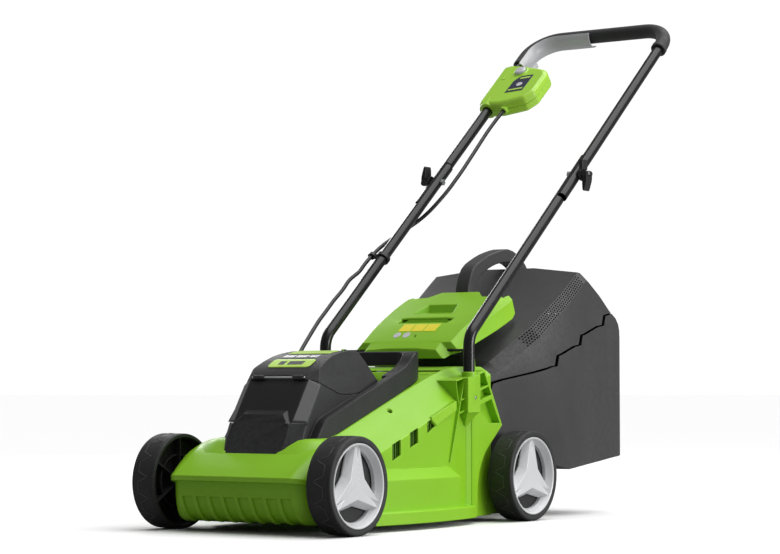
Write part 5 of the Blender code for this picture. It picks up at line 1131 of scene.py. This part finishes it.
for k in range(6):
    a = 2 * math.pi * k / 6
    c, s_ = math.cos(a), math.sin(a)
    quad = [(0.014, -0.0012), (0.0435, -0.0012), (0.0435, 0.0012), (0.014, 0.0012)]
    vanes.append(prism([(p * c - q * s_, BLADE_Y + p * s_ + q * c) for p, q in quad], "z", 0.0650, 0.0840))
boss = join(turned([(0.0, 0.0620), (0.0450, 0.0620), (0.0450, 0.0655), (0.0190, 0.0655), (0.0170, 0.0675), (0.0170, 0.1070), (0.0160, 0.1080), (0.0, 0.1080)], CX, UP, 48), *vanes)
piece("blade_fan", cut(boss, rod((0, BLADE_Y, 0.05), (0, BLADE_Y, 0.12), 0.0053, 32)), "small", "rotor", ["blade_boss"], bevel=0.0005, angle=35, clamp=True)
# the blade: sheared corners and the fixing holes; its honed leading edges and lifted trailing tips are not made
half = [(0.0060, 0.0220), (0.0400, 0.0240), (0.1240, 0.0240), (0.1290, 0.0238), (0.1490, 0.0218), (0.1490, -0.0120), (0.1290, -0.0198), (0.0400, -0.0200), (0.0060, -0.0215)]
wing = [(x, y) for x, y in half] + [(-x, -y) for x, y in half]
blade = prism([(x, y + BLADE_Y) for x, y in wing], "z", 0.0588, 0.0616)
hones = []
for s in (1, -1):
    hones.append(([(s * x, BLADE_Y - s * y, z) for x, y, z in ((0.070, 0.0140, 0.0617), (0.152, 0.0085, 0.0617), (0.152, 0.0290, 0.0617), (0.070, 0.0290, 0.0617), (0.070, 0.0290, 0.0590), (0.152, 0.0290, 0.0590))], [(0, 1, 2, 3), (0, 3, 4), (1, 5, 2), (0, 4, 5, 1), (3, 2, 5, 4)]))
lifts = [prism([(BLADE_Y - s * 0.0110, 0.0590), (BLADE_Y - s * 0.0110, 0.0612), (BLADE_Y + s * -0.0230, 0.0640), (BLADE_Y + s * -0.0230, 0.0618)], "x", *sorted((s * 0.1270, s * 0.1480))) for s in ()]
blade = cut(blade, rod((0, BLADE_Y, 0.05), (0, BLADE_Y, 0.07), 0.0053, 32), *[rod((x, BLADE_Y, 0.05), (x, BLADE_Y, 0.07), 0.0030, 20) for x in (0.0300, -0.0300)])
piece("mower_blade", blade, "blade", "rotor", ["cutting_blade"], bevel=0.0008, angle=40)
bolt = turned([(0.0, 0.0500), (0.0100, 0.0500), (0.0110, 0.0508), (0.0110, 0.0560)], CX, UP, 6)
head = turned([(0.0, 0.0500), (0.0098, 0.0500), (0.0108, 0.0506), (0.0108, 0.0562), (0.0, 0.0562)], CX, UP, 6)
flange_bolt = turned([(0.0, 0.0558), (0.0146, 0.0558), (0.0150, 0.0562), (0.0150, 0.0584), (0.0, 0.0584)], CX, UP, 40)
piece("blade_fixing", join(head, flange_bolt), "steel", "rotor", ["blade_bolt"], bevel=0.0004, angle=35, clamp=True)

# ------------------------------------------------------------------ lower and upper handle
BEND = 0.040
reach = BEND * math.tan((math.pi / 2 - TH) / 2)
vertex = np.array([0.1205, HANDLE_Z0 + HANDLE_SLOPE * 0.1205])
middle_of_bend = np.array([0.1205 + BEND, vertex[1] - reach])
lower_path = [(0.1205, 0.1835)]
for k in range(15):
    a = math.pi - (math.pi / 2 - TH) * k / 14
    lower_path.append((middle_of_bend[0] + BEND * math.cos(a), middle_of_bend[1] + BEND * math.sin(a)))
end_point = hp(0, 0.6520)
lower_path.append((end_point[1], end_point[2]))


def bolt_hole(side, r=0.0033):
    return rod((side * 0.12, PIVOT[1], PIVOT[2]), (side * 0.18, PIVOT[1], PIVOT[2]), r, 24)


for side, s in (("left", 1), ("right", -1)):
    tube = pipe([(s * LOWER_X, y, z) for y, z in lower_path], TUBE_R, 40, TUBE_R - TUBE_WALL)
    x0, x1 = sorted((s * (LAP_X - 0.0002), s * 0.17))
    screw_hole = rod((s * 0.140, 0.1205, 0.2050), (s * 0.162, 0.1205, 0.2050), 0.0024, 16)
    piece("leg_tube_" + side, cut(tube, slab(x0, x1, 0.5300, 0.68, -0.02, 0.02), bolt_hole(s), screw_hole), "tube", "deck", ["lower_tube_" + side], bevel=0.0004, angle=50, sharp=35, clamp=True)
    screw = cut(join(rod((s * 0.1500, 0.1205, 0.2050), (s * 0.1575, 0.1205, 0.2050), 0.0021, 20), turned([(0, 0.1562), (0.0027, 0.1562), (0.0027, 0.1580), (0.0020, 0.1594), (0.0, 0.1598)], (0, 0.1205, 0.2050), (s, 0, 0), 28)),
                box(*sorted((s * 0.1586, s * 0.1610)), 0.1202, 0.1208, 0.2032, 0.2068), box(*sorted((s * 0.1586, s * 0.1610)), 0.1187, 0.1223, 0.2047, 0.2053))
    piece("leg_screw_" + side, screw, "steel", "deck", ["tube_screw_" + side], weld=5e-5)
    cap = turned([(0, 0.1740), (0.0040, 0.1740), (0.0040, 0.1786), (0.0030, 0.1798), (0.0, 0.1802)], (s * 0.1070, -0.0490, 0.0), (0, 0, 1), 32)
    cap = cut(cap, box(s * 0.1070 - 0.0026, s * 0.1070 + 0.0026, -0.0494, -0.0486, 0.1788, 0.1830), box(s * 0.1070 - 0.0004, s * 0.1070 + 0.0004, -0.0516, -0.0464, 0.1788, 0.1830))
    piece("cover_screw_" + side, cap, "steel", "deck", ["deck_screw_" + side], weld=5e-5)
    bolt = join(rod((s * 0.1318, PIVOT[1], PIVOT[2]), (s * 0.1362, PIVOT[1], PIVOT[2]), 0.0062, 6), rod((s * 0.1350, PIVOT[1], PIVOT[2]), (s * 0.1748, PIVOT[1], PIVOT[2]), 0.0030, 28))
    bolt = cut(bolt, rod((s * CAM_X, PIVOT[1] - 0.01, PIVOT[2]), (s * CAM_X, PIVOT[1] + 0.01, PIVOT[2]), 0.0014, 16))
    piece("fold_bolt_" + side, bolt, "steel", "deck", ["pivot_bolt_" + side], bevel=0.0003, angle=35, clamp=True)
    washer = turned([(0.0033, 0.1588), (0.0125, 0.1588), (0.0125, 0.1602), (0.0119, 0.1612), (0.0113, 0.1635), (0.0108, 0.1640), (0.0033, 0.1640)], (0, PIVOT[1], PIVOT[2]), (s, 0, 0), 40)
    saddle = rounded(box(*sorted((s * 0.1590, s * 0.1664)), PIVOT[1] - 0.0090, PIVOT[1] + 0.0090, *sorted((PIVOT[2] + s * 0.0070, PIVOT[2] + s * 0.0250))), 0.0012, 30, 2)
    neck = box(*sorted((s * 0.1592, s * 0.1625)), PIVOT[1] - 0.0080, PIVOT[1] + 0.0080, *sorted((PIVOT[2] + s * 0.0020, PIVOT[2] + s * 0.0100)))
    bolt_room = rod((s * 0.150, PIVOT[1], PIVOT[2]), (s * 0.19, PIVOT[1], PIVOT[2]), 0.0033, 24)
    piece("fold_washer_" + side, cut(join(washer, saddle, neck), bolt_room), "small", "deck", ["cam_washer_" + side], bevel=0.0003, angle=35, clamp=True)
    y0, zp, d = PIVOT[1], PIVOT[2], -s
    cam = rod((s * CAM_X, y0 - 0.0105, zp), (s * CAM_X, y0 + 0.0105, zp), 0.0055, 36)
    arm = spline([(0.1658, zp + d * -0.001), (0.1656, zp + d * 0.0100), (0.1656, zp + d * 0.0200), (0.1662, zp + d * 0.0275), (0.1676, zp + d * 0.0302), (0.1696, zp + d * 0.0292), (0.1722, zp + d * 0.0215), (0.1748, zp + d * 0.0120), (0.1753, zp + d * 0.0050), (0.1752, zp + d * -0.001)], 3)
    lever = join(cam, rounded(prism([(s * x, z) for x, z in arm], "y", y0 - 0.0100, y0 + 0.0100), 0.0012, 40, 2))
    lever = cut(lever, rod((s * CAM_X, y0 - 0.0036, zp), (s * CAM_X, y0 + 0.0036, zp), 0.0068, 36))
    lever = join(lever, rod((s * CAM_X, y0 - 0.0080, zp), (s * CAM_X, y0 + 0.0080, zp), 0.0010, 16))
    piece("fold_lever_" + side, lever, "small", "cam_lever_" + side, ["cam_lever_" + side], bevel=0.0003, angle=40, clamp=True)

upper_path = [hp(-UPPER_X, 0.5380)]
corner = []
for k in range(19):
    a = math.pi / 2 * k / 18
    corner.append((UPPER_X - BEND_R + BEND_R * math.cos(a), BAR_S - BEND_R + BEND_R * math.sin(a)))
upper_path += [hp(-x, s) for x, s in corner]
upper_path += [hp(x, s) for x, s in reversed(corner)]
upper_path.append(hp(UPPER_X, 0.5380))
tube = pipe(upper_path, TUBE_R, 40, TUBE_R - TUBE_WALL)
inside = [slab(*sorted((s * (LAP_X + 0.0002), s * 0.12)), 0.52, 0.6570, -0.02, 0.02) for s in (1, -1)]
piece("handle_tube", cut(tube, *inside, bolt_hole(1), bolt_hole(-1)), "tube", "upper_handle", ["upper_handle_tube"], bevel=0.0004, angle=50, sharp=35, clamp=True)
sleeve_path = [hp(-UPPER_X, 0.9850), hp(-UPPER_X, 0.9862), hp(-UPPER_X, 0.9880)] + [hp(-x, s) for x, s in corner] + [hp(x, s) for x, s in reversed(corner)] + [hp(UPPER_X, 1.0095), hp(UPPER_X, 1.0085), hp(UPPER_X, 1.0075), hp(UPPER_X, 1.0005), hp(UPPER_X, 0.9995)]
count = len(sleeve_path)
radii = [0.0127, 0.0133, SLEEVE_R] + [SLEEVE_R] * (count - 8) + [SLEEVE_R, 0.0136, 0.0146, 0.0146, 0.0138]
grip = piece("hand_grip", pipe(sleeve_path, radii, 40, TUBE_R + GAP), "foam", "upper_handle", ["grip_sleeve"], bevel=0.0004, angle=55, sharp=50, clamp=True)

# ------------------------------------------------------------------ switch box, button and bail lever
BOX = [(-0.1665, 0.8450), (-0.1650, 0.8405), (-0.1600, 0.8380), (-0.1400, 0.8350), (-0.1180, 0.8340), (-0.1080, 0.8365), (-0.0720, 0.8470), (-0.0675, 0.8510), (-0.0575, 0.8665), (-0.0555, 0.8720), (-0.0550, 0.9250), (-0.0562, 0.9310),
       (-0.0620, 0.9410), (-0.0670, 0.9450), (-0.0900, 0.9540), (-0.1330, 0.9662), (-0.1380, 0.9670), (-0.1610, 0.9670), (-0.1650, 0.9655), (-0.1665, 0.9620)]


def box_layer(grow, n0, poly=BOX):
    centre = np.array([-0.112, 0.900])
    out = [tuple(centre + (np.array(p) - centre) * (1 + grow / np.linalg.norm(np.array(p) - centre))) for p in poly]
    return [[hp(x, s, n0) for x, s in out]]


front = loft(box_layer(-0.0006, 0.00015) + box_layer(0, 0.0010) + box_layer(0, 0.0098) + box_layer(-0.0012, 0.0124) + box_layer(-0.0035, 0.0148) + box_layer(-0.0068, 0.0163) + box_layer(-0.0085, 0.0166))
back = loft(box_layer(-0.0060, -0.0166) + box_layer(-0.0035, -0.0152) + box_layer(-0.0012, -0.0132) + box_layer(0, -0.0105) + box_layer(0, -0.0010) + box_layer(-0.0006, -0.00015))
cavity_poly = [(-0.1272, 0.8500), (-0.0730, 0.8530), (-0.0610, 0.8720), (-0.0600, 0.9250), (-0.0680, 0.9380), (-0.0920, 0.9452), (-0.1272, 0.9452)]
cavity = loft([[hp(x, s, n) for x, s in cavity_poly] for n in (-0.0138, 0.0138)])
lever_slot = slab(-0.1330, -0.1020, 0.9350, 0.9800, -0.0080, 0.0080)
leg_hole = rod(hp(-UPPER_X, 0.80), hp(-UPPER_X, 1.00), TUBE_R + GAP, 40)
wire_hole = rod(hp(-0.1120, 0.82), hp(-0.1120, 0.86), 0.0041, 28)
BUTTON, PIN = (-0.1174, 0.9395), (-0.1180, 0.9575)
button_hole = rod(hp(*BUTTON, 0.0030), hp(*BUTTON, 0.03), 0.0117, 48)
pin_hole = rod(hp(*PIN, -0.0125), hp(*PIN, 0.0125), 0.0021, 20)
collar_ring = turned([(0.0, 0.0145), (0.0158, 0.0145), (0.0156, 0.0158), (0.0150, 0.0170), (0.0143, 0.0180), (0.0132, 0.0185), (0.0, 0.0185)], hp(*BUTTON), N_DIR, 48)
# the barrel that grips the tube, thicker at its lower end, and the cable's collar
barrel = turned([(0, 0.8345), (0.0158, 0.8345), (0.0168, 0.8362), (0.0172, 0.8400), (0.0172, 0.8600), (0.0166, 0.8640), (0.0160, 0.8660), (0.0160, 0.9160), (0.0168, 0.9168), (0.0171, 0.9180), (0.0171, 0.9600), (0.0162, 0.9650), (0, 0.9650)], hp(-UPPER_X, 0.0), S_DIR, 48)
front_half, back_half = slab(-0.20, 0.0, 0.80, 1.0, 0.00015, 0.05), slab(-0.20, 0.0, 0.80, 1.0, -0.05, -0.00015)
cable_collar = turned([(0, 0.8300), (0.0074, 0.8300), (0.0082, 0.8312), (0.0082, 0.8440), (0, 0.8440)], hp(-0.1120, 0.0), S_DIR, 36)
box_front = cut(join(front, common(barrel, front_half), common(cable_collar, front_half), collar_ring), cavity, lever_slot, leg_hole, wire_hole, button_hole, pin_hole)
piece("box_front", box_front, "box", "upper_handle", ["switch_box_front"], bevel=0.0007, angle=26, sharp=32)
box_back = cut(join(back, common(barrel, back_half), common(cable_collar, back_half)), cavity, lever_slot, leg_hole, wire_hole, pin_hole)
piece("box_back", box_back, "box", "upper_handle", ["switch_box_back"], bevel=0.0007, angle=26, sharp=32)
plate_poly = [(-0.0815, 0.9265), (-0.1085, 0.9235), (-0.1185, 0.9080), (-0.1205, 0.8680), (-0.0835, 0.8735)]
plate_low = [hp(x, s, 0.0160) for x, s in plate_poly]
plate_top = [hp(x, s, 0.0170) for x, s in plate_poly]
piece("box_plate", loft([plate_low, plate_top]), "sticker", "upper_handle", bevel=0.0003, angle=30)
inner_poly = [(-0.0860, 0.9205), (-0.1060, 0.9178), (-0.1068, 0.9128), (-0.0862, 0.9155)]
accent = loft([[hp(x, s, 0.0168) for x, s in inner_poly], [hp(x, s, 0.0173) for x, s in inner_poly]])
low_poly = [(-0.1165, 0.8745), (-0.0870, 0.8788), (-0.0870, 0.8832), (-0.1165, 0.8789)]
accent_two = loft([[hp(x, s, 0.0168) for x, s in low_poly], [hp(x, s, 0.0173) for x, s in low_poly]])
dot = turned([(0, 0.0166), (0.0062, 0.0166), (0.0062, 0.0172), (0, 0.0174)], hp(-0.1000, 0.8955), N_DIR, 32)
piece("box_plate_marks", loose(accent, accent_two), "badge", "upper_handle")
piece("box_plate_dot", dot, "button", "upper_handle")
dressed("micro_switch", "small", 0.0005)
piece("lever_pin", rod(hp(*PIN, -0.0120), hp(*PIN, 0.0120), 0.0018, 24), "steel", "upper_handle", ["bail_pin"], bevel=0.0003, angle=50, clamp=True)
button = turned([(0.0, 0.0100), (0.0111, 0.0100), (0.0111, 0.0202), (0.0106, 0.0212), (0.0095, 0.0220), (0.0078, 0.0225), (0.0052, 0.0228), (0.0, 0.0229)], hp(*BUTTON), N_DIR, 56)
piece("start_button", button, "button", "lock_button", ["lock_button"], sharp=40)

R_IN, R_OUT = 0.0188, 0.0213
lever_path = [(-UPPER_X, 0.9720, 0.0), (-UPPER_X, 0.9850, 0.0), (-UPPER_X, 1.0000, 0.0)] + [(-cx, cs, math.pi / 2 * k / 18) for k, (cx, cs) in enumerate(corner)] + [(-0.0700, BAR_S, math.pi / 2), (-0.0500, BAR_S, math.pi / 2), (-0.0300, BAR_S, math.pi / 2), (-0.0225, BAR_S, math.pi / 2), (-0.0210, BAR_S, math.pi / 2)]
arc = [math.radians(-80 + 134 * k / 18) for k in range(19)]
rings = []
for i, (x, s, a) in enumerate(lever_path):
    ix, is_ = math.cos(a), -math.sin(a)
    last_one = i == len(lever_path) - 1
    trim = 0.0004 if last_one else 0.0
    ring = [hp(x + (R_OUT - trim) * math.cos(b) * ix, s + (R_OUT - trim) * math.cos(b) * is_, (R_OUT - trim) * math.sin(b)) for b in arc]
    ring += [hp(x + (R_IN + trim) * math.cos(b) * ix, s + (R_IN + trim) * math.cos(b) * is_, (R_IN + trim) * math.sin(b)) for b in reversed(arc)]
    rings.append(ring)
channel = loft(rings)
root = rounded(slab(-0.1300, -0.1080, 0.9500, 0.9880, -0.0055, 0.0055), 0.0012, 30, 2)
lever = cut(join(channel, root), rod(hp(*PIN, -0.02), hp(*PIN, 0.02), 0.0021, 20))
piece("stop_lever", lever, "white", "bail", ["bail_lever"], bevel=0.0005, angle=45, sharp=35, clamp=True)

# ------------------------------------------------------------------ cable and clip
CABLE = [(-0.1120, 0.8460, 0.0), (-0.1120, 0.8340, 0.0), (-0.1138, 0.8020, 0.0), (-0.1142, 0.7690, 0.0), (-0.1130, 0.7370, 0.0), (-0.1113, 0.7050, 0.0), (-0.1098, 0.6730, 0.0),
         (-0.1090, 0.6420, -0.0005), (-0.1095, 0.6120, -0.0010), (-0.1118, 0.5830, -0.0025), (-0.1190, 0.5560, -0.0060), (-0.1300, 0.5320, -0.0110), (-0.1430, 0.5120, -0.0150), (-0.1550, 0.4880, -0.0145),
         (-0.1630, 0.4580, -0.0095), (-0.1672, 0.4280, -0.0028), (-0.1680, 0.4060, 0.0018), (-0.1678, 0.3920, 0.0042), (-0.1662, 0.3680, 0.0080), (-0.1652, 0.3480, 0.0098), (-0.1640, 0.3270, 0.0110)]
cable_path = [hp(*p) for p in CABLE] + [(-0.1630, 0.2130, 0.4085), (-0.1605, 0.1890, 0.3900), (-0.1575, 0.1610, 0.3720), (-0.1540, 0.1340, 0.3530), (-0.1500, 0.1080, 0.3355), (-0.1460, 0.0850, 0.3180), (-0.1410, 0.0620, 0.3010), (-0.1350, 0.0370, 0.2820),
    (-0.1270, 0.0120, 0.2600), (-0.1180, -0.0090, 0.2400), (-0.1090, -0.0230, 0.2250), (-0.1000, -0.0310, 0.2165), (-0.0930, -0.0335, 0.2143), (-0.0850, -0.0340, 0.2140)]
points, faces = pipe(spline(cable_path, 4), 0.0035, 20)
mesh = to_mesh(([(x, y + CY, z) for x, y, z in points], faces), "signal_cable")
cable = bpy.data.objects.new("signal_cable", mesh)
scene.collection.objects.link(cable)
mesh.shade_smooth()
mesh.set_sharp_from_angle(angle=math.radians(50))
mesh.materials.append(M["cord"])


def moved(p):
    return (p[0], p[1] + CY, p[2])


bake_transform(cable)
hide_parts("switch_cable")
clip_at = hp(-LOWER_X, 0.3800)
upper_end, lower_end = hp(-0.1678, 0.3920, 0.0042), hp(-0.1662, 0.3680, 0.0080)
hold = tuple((np.array(upper_end) + np.array(lower_end)) / 2)
along = np.array(upper_end) - np.array(lower_end)
ring = turned([(0, -0.0040), (0.0124, -0.0040), (0.0128, -0.0036), (0.0128, 0.0036), (0.0124, 0.0040), (0, 0.0040)], clip_at, S_DIR, 48)
small = turned([(0, -0.0036), (0.0063, -0.0036), (0.0066, -0.0033), (0.0066, 0.0033), (0.0063, 0.0036), (0, 0.0036)], hold, along, 36)
bridge = slab(-0.1640, -0.1570, 0.3768, 0.3832, 0.0008, 0.0072)
clip = cut(join(ring, small, bridge), rod(hp(-LOWER_X, 0.36), hp(-LOWER_X, 0.40), 0.0098, 40), rod(upper_end, lower_end, 0.0039, 28))
piece("wire_clip", clip, "small", "deck", ["cable_clip"], bevel=0.0003, angle=40, clamp=True)

# ------------------------------------------------------------------ floor, backdrop, light
floor_mat = bpy.data.materials.new("floor")
floor_mat.use_nodes = True
floor_tree = floor_mat.node_tree
floor_shader = floor_tree.nodes["Principled BSDF"]
floor_shader.inputs["Roughness"].default_value = 0.8
floor_shader.inputs["Specular IOR Level"].default_value = 0.1
path_node = floor_tree.nodes.new("ShaderNodeLightPath")
shade = floor_tree.nodes.new("ShaderNodeMix")
shade.data_type = "RGBA"
shade.inputs["A"].default_value = (0.30, 0.30, 0.30, 1.0)      # what the floor bounces back
shade.inputs["B"].default_value = (0.98, 0.98, 0.98, 1.0)      # what is seen of it
floor_tree.links.new(path_node.outputs["Is Camera Ray"], shade.inputs["Factor"])
floor_tree.links.new(shade.outputs["Result"], floor_shader.inputs["Base Color"])
floor_mesh = bpy.data.meshes.new("floor")
floor_mesh.from_pydata([(-60, -60, 0), (60, -60, 0), (60, 60, 0), (-60, 60, 0)], [], [(0, 1, 2, 3)])
floor_mesh.materials.append(floor_mat)
floor = bpy.data.objects.new("floor", floor_mesh)
scene.collection.objects.link(floor)

world = bpy.data.worlds.new("studio")
scene.world = world
world.use_nodes = True
world_tree = world.node_tree
background = world_tree.nodes["Background"]
background.inputs["Color"].default_value = (1.0, 1.0, 1.0, 1.0)
seen = world_tree.nodes.new("ShaderNodeLightPath")
level = world_tree.nodes.new("ShaderNodeMath")
level.operation = "MULTIPLY_ADD"
level.inputs[1].default_value = 0.82
level.inputs[2].default_value = 0.22
world_tree.links.new(seen.outputs["Is Camera Ray"], level.inputs[0])
world_tree.links.new(level.outputs["Value"], background.inputs["Strength"])


def aimed(obj, place, target):
    obj.location = place
    obj.rotation_mode = "QUATERNION"
    obj.rotation_quaternion = (Vector(target) - Vector(place)).to_track_quat("-Z", "Y")


def softbox(name, place, target, size, power, tall=None):
    data = bpy.data.lights.new(name, "AREA")
    data.shape = "RECTANGLE"
    data.size, data.size_y = size, tall or size
    data.energy = power
    lamp = bpy.data.objects.new(name, data)
    scene.collection.objects.link(lamp)
    aimed(lamp, place, target)
    return lamp


def sky_light(name, direction, strength, angle):
    data = bpy.data.lights.new(name, "SUN")
    data.energy = strength
    data.angle = math.radians(angle)
    lamp = bpy.data.objects.new(name, data)
    scene.collection.objects.link(lamp)
    aimed(lamp, Vector(direction) * 4.0, (0, 0, 0))
    return lamp


sky_light("overhead", (0.30, 0.22, 0.93), 2.75, 70.0)
softbox("side", (3.0, 0.75, 0.75), (0, 0, 0.30), 1.6, 52.0, 1.1)
softbox("rim", (-2.6, 1.6, 1.7), (0, 0, 0.5), 1.2, 20.0, 0.9)
scene.view_settings.view_transform = "Standard"
